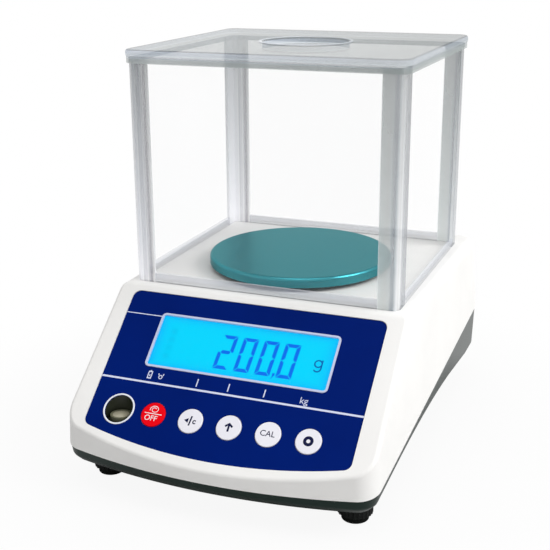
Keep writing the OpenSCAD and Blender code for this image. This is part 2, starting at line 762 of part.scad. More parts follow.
module load_cell() {
    eye_r = cell_h / 2 - 4;
    eye_span = cell_l / 2 - cell_end - eye_r;
    color("silver") difference() {
        translate([-cell_w / 2, cell_front, cell_z]) cube([cell_w, cell_l, cell_h]);
        for (s = [-1, 1]) translate([-cell_w, pan_y + s * eye_span, cell_z + cell_h / 2]) rotate([0, 90, 0])
            cylinder(r = eye_r, h = 2 * cell_w);
        translate([-cell_w, pan_y - eye_span, cell_z + cell_h / 2 - eye_r / 2])
            cube([2 * cell_w, 2 * eye_span, eye_r]);
        for (d = cell_holes) {
            translate([0, cell_front + d, cell_top - screw_bite - cut])
                cylinder(d = cell_screw_d, h = screw_bite + 2 * cut);
            translate([0, cell_back - d, cell_z - cut])
                cylinder(d = cell_screw_d, h = screw_bite + 2 * cut);
        }
    }
}
module load_cell_block() {
    color("gray") difference() {
        translate([-cell_w / 2, cell_back - cell_end, pedestal_z]) cube([cell_w, cell_end, block_h]);
        for (d = cell_holes) translate([0, cell_back - d, pedestal_z - cut])
            cylinder(d = cell_screw_d + 2 * seat_gap, h = block_h + 2 * cut);
    }
}
module load_cell_screws() {
    d = cell_screw_d - 2 * seat_gap;
    head_d = 1.7 * cell_screw_d;
    head_h = 0.5 * cell_screw_d;
    color("dimgray") for (e = cell_holes) {
        translate([0, cell_front + e, post_z]) screw(d, bridge_t + bridge_gap + screw_bite, head_d, head_h);
        seat = floor_z(cell_back - e);
        translate([0, cell_back - e, seat]) mirror([0, 0, 1])
            screw(d, cell_z + screw_bite - seat, head_d, head_h);
    }
}
module overload_stop() {
    stop_y = cell_front + cell_holes.x;
    low = base_z(stop_y) + 0.5;
    color("dimgray") translate([0, stop_y, low]) {
        cylinder(d = cell_screw_d - 2 * seat_gap, h = cell_z - stop_gap - low);
        translate([0, 0, floor_z(stop_y) + seat_gap - low])
            cylinder(d = 1.8 * cell_screw_d, h = 4, $fn = 6);
    }
}

// Boards, battery and power
module main_board() {
    color("seagreen") difference() {
        translate([-main_w / 2, main_y - main_d / 2, main_z]) cube([main_w, main_d, board_t]);
        for (p = main_holes) translate([p.x, p.y, main_z - cut])
            cylinder(d = board_screw_d + 2 * seat_gap, h = board_t + 2 * cut);
    }
}
module main_board_parts() {
    color("dimgray") translate([0, main_y, main_top]) {
        for (x = [-chip_left, chip_right]) translate([x, -chip_w / 2, 0]) cube([chip_w, chip_w, chip_h]);
        for (x = [-socket_left, socket_right]) translate([x, socket_back, 0])
            cube([socket_w, socket_d, socket_h]);
        for (x = [can_x, can_x + can_pitch]) translate([x, -can_d, 0]) cylinder(d = can_d, h = can_h);
    }
}
module main_board_screws() {
    color("silver") for (p = main_holes) translate([p.x, p.y, main_top])
        screw(board_screw_d - 2 * seat_gap, board_t + main_screw_bite, 2 * board_screw_d, small_head_h);
}
module battery() {
    tab = [4.8, 0.8, 6];
    color("slategray") at_battery() {
        slab(battery_w, battery_l, cover_t, cover_t + battery_h);
        for (s = [-1, 1]) translate([-tab.x / 2, s * (battery_l / 2 - 8), cover_t + battery_h - skin])
            cube(tab);
    }
}
module battery_cover() {
    color("darkslategray") at_battery() difference() {
        slab(cover_w, cover_l, 0, cover_t);
        for (s = [-1, 1]) translate([0, s * cover_screw_y, -cut]) {
            cylinder(d = cover_screw_d + 2 * seat_gap, h = cover_t + 2 * cut);
            cylinder(d = 2 * cover_screw_d + 2 * seat_gap, h = cut + cover_t / 2);
        }
    }
}
module battery_cover_screws() {
    color("silver") at_battery() for (s = [-1, 1]) translate([0, s * cover_screw_y, cover_t / 2])
        mirror([0, 0, 1])
        screw(cover_screw_d - 2 * seat_gap, cover_t / 2 + ledge_t, 2 * cover_screw_d, cover_t / 2 - seat_gap);
}
module power_inlet() {
    box = [14, 12, 11];
    nose_l = wall + base_taper / 2;
    pin_d = 2;
    depth = 9.5;
    color("black") translate([inlet_x, inlet_wall_y, inlet_z]) {
        difference() {
            union() {
                translate([-box.x / 2, -box.y, -box.z / 2]) cube(box);
                rotate([-90, 0, 0]) cylinder(d = inlet_d, h = nose_l);
            }
            translate([0, nose_l - depth, 0]) rotate([-90, 0, 0]) cylinder(d = inlet_bore, h = depth + cut);
        }
        translate([0, nose_l - depth - skin, 0]) rotate([-90, 0, 0]) cylinder(d = pin_d, h = depth - cut);
    }
}
module case_screws() {
    color("silver") for (p = case_points) translate([p.x, p.y, case_z(p.y) - case_seat]) mirror([0, 0, 1])
        screw(case_screw_d - 2 * seat_gap, case_seat + case_bite, 2 * case_screw_d, case_head_h);
}
module load_cell_cable() {
    start = [-cell_w / 2 - seat_gap, cell_back - cable_run, cell_z + cable_rise];
    plug = [socket_w / 2 - socket_left, main_y + socket_back + socket_d + seat_gap, main_top + socket_h / 2];
    route = [start, start - [cable_out, 0, 0], start - [cable_out + cable_bend, cable_bend, cable_bend / 2],
        [-cable_side, pan_y, plug.z], plug + [0, cable_run, 0], plug + [0, cable_out, 0], plug];
    color("black") swept_cable(route, cable_d);
}
module display_cable() {
    ribbon_x = socket_right + (socket_w - ribbon_w) / 2;
    ribbon_y = main_y + socket_back + (socket_d - ribbon_t) / 2;
    color("lightgray") difference() {
        translate([ribbon_x, ribbon_y, main_top + socket_h]) cube([ribbon_w, ribbon_t, deck_h]);
        on_panel() translate([-body_w / 2, -body_l, board_z - board_t]) cube([body_w, 2 * body_l, deck_h]);
    }
}

// Levelling feet
module foot_inserts() {
    color("goldenrod") for (p = feet) translate([p.x, p.y, insert_z(p.y)]) difference() {
        cylinder(d = insert_d - seat_gap, h = insert_l);
        translate([0, 0, -cut]) cylinder(d = stud_d + 2 * running_gap, h = insert_l + 2 * cut);
    }
}
module foot_pad(i) {
    color("black") translate([feet[i].x, feet[i].y, 0]) difference() {
        cylinder(d = pad_d, h = pad_h);
        translate([0, 0, pad_h - spigot_h]) cylinder(d = spigot_d + 2 * running_gap, h = spigot_h + cut);
    }
}
module foot_screw(i) {
    flute_d = 2;
    wheel_z = pad_h + seat_gap;
    stud_top = insert_z(feet[i].y) + insert_l + stud_spare;
    color("dimgray") translate([feet[i].x, feet[i].y, 0]) {
        difference() {
            translate([0, 0, wheel_z]) cylinder(d = wheel_d, h = wheel_h);
            for (k = [1:wheel_flutes]) rotate([0, 0, k * 360 / wheel_flutes])
                translate([wheel_d / 2 + flute_d / 4, 0, wheel_z - cut])
                    cylinder(d = flute_d, h = wheel_h + 2 * cut, $fn = 24);
        }
        translate([0, 0, pad_h - spigot_h + seat_gap]) cylinder(d = spigot_d, h = spigot_h);
        cylinder_from(stud_d, wheel_z + wheel_h - skin, stud_top);
    }
}
module cylinder_from(d, z0, z1) translate([0, 0, z0]) cylinder(d = d, h = z1 - z0);

// Draft shield
module post_profile() difference() {
    union() {
        translate([post_r, 0]) square([post_leg - post_r, post_leg]);
        translate([0, post_r]) square([post_leg, post_leg - post_r]);
        translate([post_r, post_r]) circle(post_r);
    }
    translate([post_wall, post_wall]) square(post_leg);
}
module shield_posts() {
    color("lightsteelblue", 0.4) at_shield() for (sx = [0, 1], sy = [0, 1]) mirror([sx, 0, 0])
        mirror([0, sy, 0])
        translate([-shield_w / 2, -shield_d / 2, deck_h]) linear_extrude(lid_z - deck_h) post_profile();
}
module rails(z, h) {
    color("lightsteelblue", 0.4) at_shield() for (s = [-1, 1]) {
        translate([0, s * (shield_d - post_wall) / 2, 0])
            slab(shield_w - 2 * post_leg, post_wall, z, z + h);
        translate([s * (shield_w - post_wall) / 2, 0, 0])
            slab(post_wall, shield_d - 2 * post_leg, z, z + h);
    }
}
module shield_bottom_rails() rails(deck_h, rail_h);
module shield_top_rails() rails(lid_z - top_rail_h, top_rail_h);
module cross_pane(s) {
    w = pane_w - 2 * pane_t - 2 * seat_gap;
    color("aliceblue", 0.25) at_shield() translate([0, s * (pane_d - pane_t) / 2, 0])
        slab(w, pane_t, pane_z, pane_z + pane_h);
}
module side_pane(s) {
    color("aliceblue", 0.25) at_shield() translate([s * (pane_w - pane_t) / 2, 0, 0])
        slab(pane_t, pane_d, pane_z, pane_z + pane_h);
}
module front_pane() cross_pane(-1);
module rear_pane() cross_pane(1);
module left_pane() side_pane(-1);
module right_pane() side_pane(1);
module shield_lid() {
    lid_w = shield_w + 2 * lid_over;
    lid_d = shield_d + 2 * lid_over;
    color("lightsteelblue", 0.4) at_shield() translate([0, 0, lid_z]) difference() {
        union() {
            linear_extrude(lid_t) rounded_plate(lid_w, lid_d, lid_corner_r);
            cylinder(d = port_d + 2 * port_rim_w, h = lid_t + port_rim_h);
            translate([0, 0, -rim_h]) linear_extrude(rim_h + skin) difference() {
                rounded_plate(lid_w - 2 * rim_step, lid_d - 2 * rim_step, lid_corner_r - rim_step);
                rounded_plate(shield_w + 2 * rim_gap, shield_d + 2 * rim_gap, post_r + rim_gap);
            }
        }
        translate([0, 0, -cut]) cylinder(d = port_d, h = lid_t + port_rim_h + 2 * cut);
    }
}

upper_housing();
lower_housing();
panel_overlay();
display_frame();
display_window();
lcd_panel();
lcd_backlight();
display_board();
key_switches();
display_board_screws();
power_key();
tare_key();
up_key();
cal_key();
unit_key();
level_ring();
level_sleeve();
level_vial();
level_fluid();
level_cap();
weighing_pan();
pan_cushions();
pan_support();
pan_post();
load_bridge();
load_cell();
load_cell_block();
load_cell_screws();
overload_stop();
main_board();
main_board_parts();
main_board_screws();
battery();
battery_cover();
battery_cover_screws();
power_inlet();
case_screws();
foot_inserts();
foot_pad(0);  // foot_pad_fl
foot_pad(1);  // foot_pad_fr
foot_pad(2);  // foot_pad_rl
foot_pad(3);  // foot_pad_rr
foot_screw(0);  // foot_screw_fl
foot_screw(1);  // foot_screw_fr
foot_screw(2);  // foot_screw_rl
foot_screw(3);  // foot_screw_rr
shield_bottom_rails();
shield_posts();
shield_top_rails();
front_pane();
rear_pane();
left_pane();
right_pane();
shield_lid();
load_cell_cable();
display_cable();
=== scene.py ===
"""Looks of the precision balance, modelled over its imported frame.

Every new piece is drawn in millimetres, as on the balance's own drawings, and then settled in metres in
the frame.
"""

from __future__ import annotations

import logging
import math
from contextlib import contextmanager
from dataclasses import dataclass, field
from enum import Enum
from typing import Callable, Iterator, Sequence

import bmesh
import bpy
from mathutils import Matrix, Vector

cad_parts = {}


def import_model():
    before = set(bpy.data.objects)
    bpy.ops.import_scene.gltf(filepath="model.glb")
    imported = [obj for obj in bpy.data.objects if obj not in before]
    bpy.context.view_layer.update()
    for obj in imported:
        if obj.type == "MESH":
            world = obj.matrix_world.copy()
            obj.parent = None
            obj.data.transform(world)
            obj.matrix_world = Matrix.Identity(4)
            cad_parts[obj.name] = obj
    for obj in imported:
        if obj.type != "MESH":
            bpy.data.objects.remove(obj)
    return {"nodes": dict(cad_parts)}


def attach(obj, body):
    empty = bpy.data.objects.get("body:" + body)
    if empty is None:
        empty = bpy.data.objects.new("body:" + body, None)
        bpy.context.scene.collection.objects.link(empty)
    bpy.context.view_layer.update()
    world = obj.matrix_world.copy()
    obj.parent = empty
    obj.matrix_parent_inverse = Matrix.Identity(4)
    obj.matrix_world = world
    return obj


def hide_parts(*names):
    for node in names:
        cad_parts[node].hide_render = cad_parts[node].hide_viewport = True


LOG = logging.getLogger("precision_balance")
MM = 0.001
# Places nearer to each other than this, in millimetres, count as one.
NEAR = 0.01
# Colour of the display's crystal by the light of the room alone.
UNLIT = "#04182c"
TURN = 2 * math.pi
Point = tuple[float, float]
Test = Callable[[Vector, Vector], bool]
Piece = bpy.types.Object


class Pick(Enum):
    """What a selection in edit mode picks."""

    VERTS = "VERT"
    EDGES = "EDGE"


class Cut(Enum):
    """How a second shape changes a piece."""

    TAKE_AWAY = "DIFFERENCE"
    ADD = "UNION"


class Key(Enum):
    """The keys from left to right, by the body that each one moves with."""

    POWER = "power_key"
    TARE = "tare_key"
    UP = "up_key"
    CAL = "cal_key"
    UNIT = "unit_key"


class Banding(Enum):
    """What the painted bands of highlight and shade in clear acrylic run along."""

    WIDTH = "place across the width"
    HEIGHT = "height over the bench"


class Corner(Enum):
    """The four feet by their corner."""

    FRONT_LEFT = "fl"
    FRONT_RIGHT = "fr"
    REAR_LEFT = "rl"
    REAR_RIGHT = "rr"


def activate(piece: Piece) -> None:
    """Makes one piece the only selected and active object."""
    if bpy.context.object and bpy.context.object.mode != "OBJECT":
        bpy.ops.object.mode_set(mode="OBJECT")
    bpy.ops.object.select_all(action="DESELECT")
    piece.select_set(True)
    bpy.context.view_layer.objects.active = piece


@contextmanager
def editing(piece: Piece) -> Iterator[None]:
    """Opens a piece in edit mode with nothing selected, and leaves edit mode at the end.

    Args:
        piece: the piece to open.
    """
    activate(piece)
    bpy.ops.object.mode_set(mode="EDIT")
    bpy.ops.mesh.select_all(action="DESELECT")
    yield
    bpy.ops.object.mode_set(mode="OBJECT")


def pick(piece: Piece, kind: Pick, test: Test) -> int:
    """Selects points or edges of the piece that is open in edit mode.

    Args:
        piece: the piece in edit mode.
        kind: what is selected.
        test: takes the place and the normal, or an edge's direction, and says yes or no.

    Returns:
        How many were selected.
    """
    bpy.ops.mesh.select_mode(type=kind.value)
    bpy.ops.mesh.select_all(action="DESELECT")
    mesh = bmesh.from_edit_mesh(piece.data)
    if kind is Pick.VERTS:
        parts = [(v, v.co, v.normal) for v in mesh.verts]
    else:
        ends = [(e, e.verts[0].co, e.verts[1].co) for e in mesh.edges]
        parts = [(e, (a + b) / 2, b - a) for e, a, b in ends]
    found = 0
    for part, place, way in parts:
        if test(place, way):
            part.select_set(True)
            found += 1
    mesh.select_flush_mode()
    bmesh.update_edit_mesh(piece.data)
    return found


def arc(middle: Point, radius: float, start: float, end: float, steps: int) -> list[Point]:
    """Points along an arc.

    Args:
        middle: the arc's middle.
        radius: its radius.
        start: the angle of its first point, in degrees.
        end: the angle of its last point, in degrees.
        steps: the number of steps between them.

    Returns:
        The points, one more than the steps.
    """
    angles = [math.radians(start + (end - start) * i / steps) for i in range(steps + 1)]
    return [(middle[0] + radius * math.cos(a), middle[1] + radius * math.sin(a)) for a in angles]


def rounded_box(width: float, depth: float, radius: float, steps: int = 8) -> list[Point]:
    """Outline of a rectangle with round corners, about its middle.

    Args:
        width: its size along X.
        depth: its size along Y.
        radius: its corner radius.
        steps: the steps in each corner.

    Returns:
        The outline's points.
    """
    x, y = width / 2 - radius, depth / 2 - radius
    corners = [(x, y, 0), (-x, y, 90), (-x, -y, 180), (x, -y, 270)]
    return [p for cx, cy, a in corners for p in arc((cx, cy), radius, a, a + 90, steps)]


def rectangle(left: float, low: float, right: float, high: float) -> list[Point]:
    """Outline of a rectangle by its four edges."""
    return [(left, low), (right, low), (right, high), (left, high)]


def outlined(name: str, points: Sequence[Point], filled: bool = True) -> Piece:
    """Adds a circle and moves its points on to a drawn outline.

    Args:
        name: the new piece's name.
        points: the outline.
        filled: whether the outline gets a face.

    Returns:
        The new flat piece.
    """
    bpy.ops.object.select_all(action="DESELECT")
    fill = "NGON" if filled else "NOTHING"
    bpy.ops.mesh.primitive_circle_add(vertices=len(points), radius=1.0, fill_type=fill)
    piece = bpy.context.object
    piece.name = name
    piece.data.name = name
    for vertex, (x, y) in zip(piece.data.vertices, points):
        vertex.co = (x, y, 0.0)
    piece.data.update()
    return piece


def slab(name: str, points: Sequence[Point], low: float, high: float) -> Piece:
    """Extrudes an outline to a plate.

    Args:
        name: the new piece's name.
        points: the outline.
        low: the height of its underside.
        high: the height of its upper side.

    Returns:
        The plate.
    """
    piece = outlined(name, points)
    with editing(piece):
        bpy.ops.mesh.select_all(action="SELECT")
        bpy.ops.transform.translate(value=(0, 0, low))
        bpy.ops.mesh.extrude_region_move(TRANSFORM_OT_translate={"value": (0, 0, high - low)})
        bpy.ops.mesh.select_all(action="SELECT")
        bpy.ops.mesh.normals_make_consistent(inside=False)
    return piece


def turned(name: str, section: Sequence[Point], steps: int = 96) -> Piece:
    """Spins a closed half section about Z.

    Args:
        name: the new piece's name.
        section: the half section as radius and height.
        steps: the steps round the axis.

    Returns:
        The turned piece.
    """
    piece = outlined(name, section, filled=False)
    for vertex, (radius, height) in zip(piece.data.vertices, section):
        vertex.co = (radius, 0.0, height)
    with editing(piece):
        bpy.ops.mesh.select_all(action="SELECT")
        bpy.ops.mesh.spin(steps=steps, angle=TURN, center=(0, 0, 0), axis=(0, 0, 1))
        bpy.ops.mesh.select_all(action="SELECT")
        bpy.ops.mesh.remove_doubles(threshold=0.001)
        bpy.ops.mesh.dissolve_degenerate(threshold=0.0005)
        bpy.ops.mesh.select_all(action="SELECT")
        bpy.ops.mesh.normals_make_consistent(inside=False)
    return piece


def lofted(name: str, rings: Sequence[Sequence[Vector]]) -> Piece:
    """Joins rings of points by walls, one ring after another.

    Args:
        name: the new piece's name.
        rings: the rings, all with the same number of points.

    Returns:
        The skin, open at both ends.
    """
    piece = outlined(name, [(p.x, p.y) for p in rings[0]], filled=False)
    for vertex, point in zip(piece.data.vertices, rings[0]):
        vertex.co = point
    for before, after in zip(rings, rings[1:]):
        onward = {tuple(p): q for p, q in zip(before, after)}
        with editing(piece):
            pick(piece, Pick.VERTS, lambda p, n: tuple(p) in onward)
            bpy.ops.mesh.extrude_region()
            mesh = bmesh.from_edit_mesh(piece.data)
            for vertex in [v for v in mesh.verts if v.select]:
                vertex.co = onward[tuple(vertex.co)]
            bmesh.update_edit_mesh(piece.data)
    return piece


def lettered(
    name: str, words: str, size: float, middle: Point, low: float, high: float, weight: float = 0.0
) -> Piece:
    """Sets plain lettering as a thin plate.

    Args:
        name: the new piece's name.
        words: the letters.
        size: the type size.
        middle: the place of its middle.
        low: the height of its underside.
        high: the height of its upper side.
        weight: how much bolder the strokes are on each side.

    Returns:
        The lettering as a mesh.
    """
    bpy.ops.object.select_all(action="DESELECT")
    bpy.ops.object.text_add()
    text = bpy.context.object
    text.data.body = words
    text.data.size = size
    text.data.align_x = "CENTER"
    text.data.align_y = "CENTER"
    text.data.resolution_u = 6
    text.data.offset = weight
    text.data.extrude = (high - low) / 2
    bpy.ops.object.convert(target="MESH")
    piece = bpy.context.object
    piece.name = name
    piece.data.name = name
    move(piece, Matrix.Translation((middle[0], middle[1], (low + high) / 2)))
    return piece


def ribbon(path: Sequence[Point], width: float) -> list[Point]:
    """Outline of a line of even width along a path.

    Args:
        path: the path's points.
        width: the line's width.

    Returns:
        The outline.
    """
    left, right = [], []
    for i, (x, y) in enumerate(path):
        before, after = path[max(i - 1, 0)], path[min(i + 1, len(path) - 1)]
        way = Vector((after[0] - before[0], after[1] - before[1])).normalized()
        left.append((x - way.y * width / 2, y + way.x * width / 2))
        right.append((x + way.y * width / 2, y - way.x * width / 2))
    return left + right[::-1]


def move(piece: Piece, place: Matrix) -> None:
    """Moves a piece and applies the move to its mesh."""
    activate(piece)
    piece.matrix_world = place
    bpy.ops.object.transform_apply(location=True, rotation=True, scale=True)


def copied(piece: Piece, name: str, place: Matrix) -> Piece:
    """Copies a piece with a mesh of its own.

    Args:
        piece: the piece to copy.
        name: the copy's name.
        place: where the copy goes.

    Returns:
        The copy.
    """
    activate(piece)
    bpy.ops.object.duplicate(linked=False)
    copy = bpy.context.object
    copy.name = name
    copy.data.name = name
    move(copy, place)
    return copy


def joined(pieces: Sequence[Piece]) -> Piece:
    """Joins several pieces into the first one."""
    activate(pieces[0])
    for piece in pieces[1:]:
        piece.select_set(True)
    if len(pieces) > 1:
        bpy.ops.object.join()
    return pieces[0]


def apply_modifier(piece: Piece, modifier: bpy.types.Modifier) -> None:
    """Applies one modifier to its piece."""
    activate(piece)
    bpy.ops.object.modifier_apply(modifier=modifier.name)


def set_order(piece: Piece) -> None:
    """Puts a mesh's points and faces in one order, because a cut leaves them in another at each run."""
    mesh = piece.data
    places = [tuple(vertex.co) for vertex in mesh.vertices]
    order = sorted(range(len(places)), key=lambda i: places[i])
    rank = {old: new for new, old in enumerate(order)}
    rings = []
    for face in mesh.polygons:
        ring = [rank[i] for i in face.vertices]
        start = ring.index(min(ring))
        rings.append(ring[start:] + ring[:start])
    mesh.clear_geometry()
    mesh.from_pydata([places[i] for i in order], [], sorted(rings))
    mesh.update()


def carve(piece: Piece, tool: Piece, how: Cut = Cut.TAKE_AWAY) -> None:
    """Cuts a piece with a second shape, or adds the shape to it, and removes that shape.

    Args:
        piece: the piece to change.
        tool: the second shape.
        how: whether it is taken away or added.
    """
    boolean = piece.modifiers.new("carve", "BOOLEAN")
    boolean.operation = how.value
    boolean.solver = "EXACT"
    boolean.object = tool
    apply_modifier(piece, boolean)
    bpy.data.objects.remove(tool)


def round_edges(piece: Piece, radius: float, segments: int, test: Test) -> None:
    """Bevels the edges that a test picks.

    Args:
        piece: the piece to change.
        radius: the width of the bevel.
        segments: its segments.
        test: picks the edges.
    """
    with editing(piece):
        if pick(piece, Pick.EDGES, test):
            bpy.ops.mesh.bevel(
                offset=radius, segments=segments, profile=0.5, affect="EDGES", clamp_overlap=True
            )


def roll_edges(piece: Piece, radius: Callable[[Vector], float], segments: int, test: Test) -> None:
    """Rounds edges as a rolling ball would, with one radius at steep and at shallow edges.

    Args:
        piece: the piece to change.
        radius: gives the radius at a place.
        segments: the segments across the rounding.
        test: picks the edges.
    """
    mesh = bmesh.new()
    mesh.from_mesh(piece.data)
    widths: dict[int, float] = {}
    for edge in mesh.edges:
        place = (edge.verts[0].co + edge.verts[1].co) / 2
        if len(edge.link_faces) == 2 and test(place, edge.verts[1].co - edge.verts[0].co):
            widths[edge.index] = radius(place) * math.tan(edge.calc_face_angle() / 2)
    widest = max(widths.values())
    layer = mesh.edges.layers.float.new("bevel_weight_edge")
    mesh.edges.ensure_lookup_table()
    for index, width in widths.items():
        mesh.edges[index][layer] = width / widest
    mesh.to_mesh(piece.data)
    mesh.free()
    bevel = piece.modifiers.new("round", "BEVEL")
    bevel.limit_method = "WEIGHT"
    bevel.width = widest
    bevel.segments = segments
    bevel.use_clamp_overlap = False
    apply_modifier(piece, bevel)


def thicken(piece: Piece, wall: float) -> None:
    """Gives an open skin a wall on its inner side."""
    solid = piece.modifiers.new("wall", "SOLIDIFY")
    solid.thickness = wall
    solid.offset = -1.0
    solid.use_even_offset = True
    apply_modifier(piece, solid)


def linear(code: str) -> tuple[float, float, float, float]:
    """Turns an sRGB hex value into a linear colour.

    Args:
        code: the colour as #rrggbb.

    Returns:
        The linear colour.
    """
    values = [int(code[i : i + 2], 16) / 255 for i in (1, 3, 5)]
    red, green, blue = [v / 12.92 if v <= 0.04045 else ((v + 0.055) / 1.055) ** 2.4 for v in values]
    return (red, green, blue, 1.0)


def add_node(
    tree: bpy.types.NodeTree,
    kind: str,
    settings: dict[str, object] | None = None,
    inputs: dict[str | int, object] | None = None,
) -> bpy.types.Node:
    """Adds a node with its settings and links.

    Args:
        tree: the material's or world's tree.
        kind: the node's type.
        settings: the node's own settings.
        inputs: for each input a value, or a socket that is linked to it.

    Returns:
        The new node.
    """
    node = tree.nodes.new(kind)
    for name, value in (settings or {}).items():
        setattr(node, name, value)
    for name, value in (inputs or {}).items():
        if isinstance(value, bpy.types.NodeSocket):
            tree.links.new(value, node.inputs[name])
        else:
            node.inputs[name].default_value = value
    return node


def per_metre(size_mm: float) -> float:
    """Scale of a pattern whose features are this many millimetres across."""
    return 1.0 / (size_mm * MM)


@dataclass(frozen=True)
class Finish:
    """One finish: a Principled shader with even values, which a kind of material then works over."""

    name: str
    colour: str
    roughness: float = 0.5
    metallic: float = 0.0
    ior: float = 1.5
    specular: float = 0.5
    tint: str = "#ffffff"
    alpha: float = 1.0

    def material(self) -> bpy.types.Material:
        """Makes the material the first time, and finds it again after that.

        Returns:
            The material.
        """
        known = bpy.data.materials.get(self.name)
        if known:
            return known
        material = bpy.data.materials.new(self.name)
        material.use_nodes = True
        tree = material.node_tree
        shader = tree.nodes["Principled BSDF"]
        shader.inputs["Base Color"].default_value = linear(self.colour)
        shader.inputs["Roughness"].default_value = self.roughness
        shader.inputs["Metallic"].default_value = self.metallic
        shader.inputs["IOR"].default_value = self.ior
        shader.inputs["Specular IOR Level"].default_value = self.specular
        shader.inputs["Specular Tint"].default_value = linear(self.tint)
        shader.inputs["Alpha"].default_value = self.alpha
        coordinates = add_node(tree, "ShaderNodeTexCoord")
        self.work(tree, shader, coordinates.outputs["Object"])
        return material

    def work(self, tree: bpy.types.NodeTree, shader: bpy.types.Node, place: bpy.types.NodeSocket) -> None:
        """Works the surface over. Kinds of material replace this.

        Args:
            tree: the material's tree.
            shader: its Principled shader.
            place: the Object coordinates.
        """

    def mottle(
        self, tree: bpy.types.NodeTree, place: bpy.types.NodeSocket, size: float, first: str, second: str
    ) -> bpy.types.NodeSocket:
        """Blends two tones in soft patches.

        Args:
            tree: the material's tree.
            place: the coordinates.
            size: the patches' size in millimetres.
            first: one tone.
            second: the other tone.

        Returns:
            The colour socket.
        """
        inputs = {"Vector": place, "Scale": per_metre(size), "Detail": 3.0, "Roughness": 0.55}
        noise = add_node(tree, "ShaderNodeTexNoise", None, inputs)
        ramp = add_node(tree, "ShaderNodeValToRGB", None, {"Fac": noise.outputs["Fac"]})
        ramp.color_ramp.elements[0].position = 0.3
        ramp.color_ramp.elements[0].color = linear(first)
        ramp.color_ramp.elements[1].position = 0.7
        ramp.color_ramp.elements[1].color = linear(second)
        return ramp.outputs["Color"]

    def vary(
        self, tree: bpy.types.NodeTree, source: bpy.types.NodeSocket, low: float, high: float
    ) -> bpy.types.NodeSocket:
        """Maps a pattern from 0 to 1 on to a range.

        Args:
            tree: the material's tree.
            source: the pattern.
            low: the value at 0.
            high: the value at 1.

        Returns:
            The value socket.
        """
        inputs = {"Value": source, "To Min": low, "To Max": high}
        return add_node(tree, "ShaderNodeMapRange", None, inputs).outputs["Result"]


@dataclass(frozen=True)
class MouldedPlastic(Finish):
    """Injection-moulded plastic from a spark-eroded tool: an even tone with a fine dull grain."""

    shade: str = "#808080"
    grain: float = 0.9
    depth: float = 0.02
    patch: float = 55.0

    def work(self, tree: bpy.types.NodeTree, shader: bpy.types.Node, place: bpy.types.NodeSocket) -> None:
        """Adds the tool's grain, a little unevenness of gloss and a faint drift of the tone.

        Args:
            tree: the material's tree.
            shader: its Principled shader.
            place: the Object coordinates.
        """
        colour = self.mottle(tree, place, self.patch, self.shade, self.colour)
        tree.links.new(colour, shader.inputs["Base Color"])
        # The real grain is about 0.1 mm, too fine for the picture, so it is drawn as coarse as it needs to
        # show.
        inputs = {"Vector": place, "Scale": per_metre(self.grain), "Detail": 4.0, "Roughness": 0.6}
        grain = add_node(tree, "ShaderNodeTexNoise", None, inputs).outputs["Fac"]
        gloss = self.vary(tree, grain, self.roughness - 0.06, self.roughness + 0.06)
        tree.links.new(gloss, shader.inputs["Roughness"])
        settings = {"Strength": 0.25, "Distance": self.depth * MM, "Height": grain}
        bump = add_node(tree, "ShaderNodeBump", None, settings)
        tree.links.new(bump.outputs["Normal"], shader.inputs["Normal"])


@dataclass(frozen=True)
class TurnedSteel(Finish):
    """Spun and fine-turned stainless steel: rings about the middle, with soft reflections across."""

    middle: tuple[float, float, float] = (0.0, 0.0, 0.0)
    shade: str = "#808080"
    ring: float = 0.8
    depth: float = 0.02

    def work(self, tree: bpy.types.NodeTree, shader: bpy.types.Node, place: bpy.types.NodeSocket) -> None:
        """Adds the turning marks, with a tone and a gloss that change from ring to ring.

        Args:
            tree: the material's tree.
            shader: its Principled shader.
            place: the Object coordinates.
        """
        back = tuple(-v * MM for v in self.middle)
        centred = add_node(tree, "ShaderNodeMapping", None, {"Vector": place, "Location": back})
        parts = add_node(tree, "ShaderNodeSeparateXYZ", None, {"Vector": centred.outputs["Vector"]})
        inputs = {"X": parts.outputs["X"], "Y": parts.outputs["Y"]}
        flat = add_node(tree, "ShaderNodeCombineXYZ", None, inputs).outputs["Vector"]
        length = add_node(tree, "ShaderNodeVectorMath", {"operation": "LENGTH"}, {0: flat})
        along = add_node(tree, "ShaderNodeCombineXYZ", None, {"X": length.outputs["Value"]})
        # Real turning marks are 0.1 mm apart, too fine for the picture, so they are drawn as coarse as they
        # need to show.
        inputs = {"Vector": along.outputs["Vector"], "Scale": per_metre(self.ring), "Detail": 5.0}
        rings = add_node(tree, "ShaderNodeTexNoise", None, inputs).outputs["Fac"]
        ramp = add_node(tree, "ShaderNodeValToRGB", None, {"Fac": rings})
        ramp.color_ramp.elements[0].position = 0.25
        ramp.color_ramp.elements[0].color = linear(self.shade)
        ramp.color_ramp.elements[1].position = 0.75
        ramp.color_ramp.elements[1].color = linear(self.colour)
        tree.links.new(ramp.outputs["Color"], shader.inputs["Base Color"])
        gloss = self.vary(tree, rings, self.roughness - 0.08, self.roughness + 0.08)
        tree.links.new(gloss, shader.inputs["Roughness"])
        inputs = {"Strength": 0.15, "Distance": self.depth * MM, "Height": rings}
        bump = add_node(tree, "ShaderNodeBump", None, inputs)
        tree.links.new(bump.outputs["Normal"], shader.inputs["Normal"])


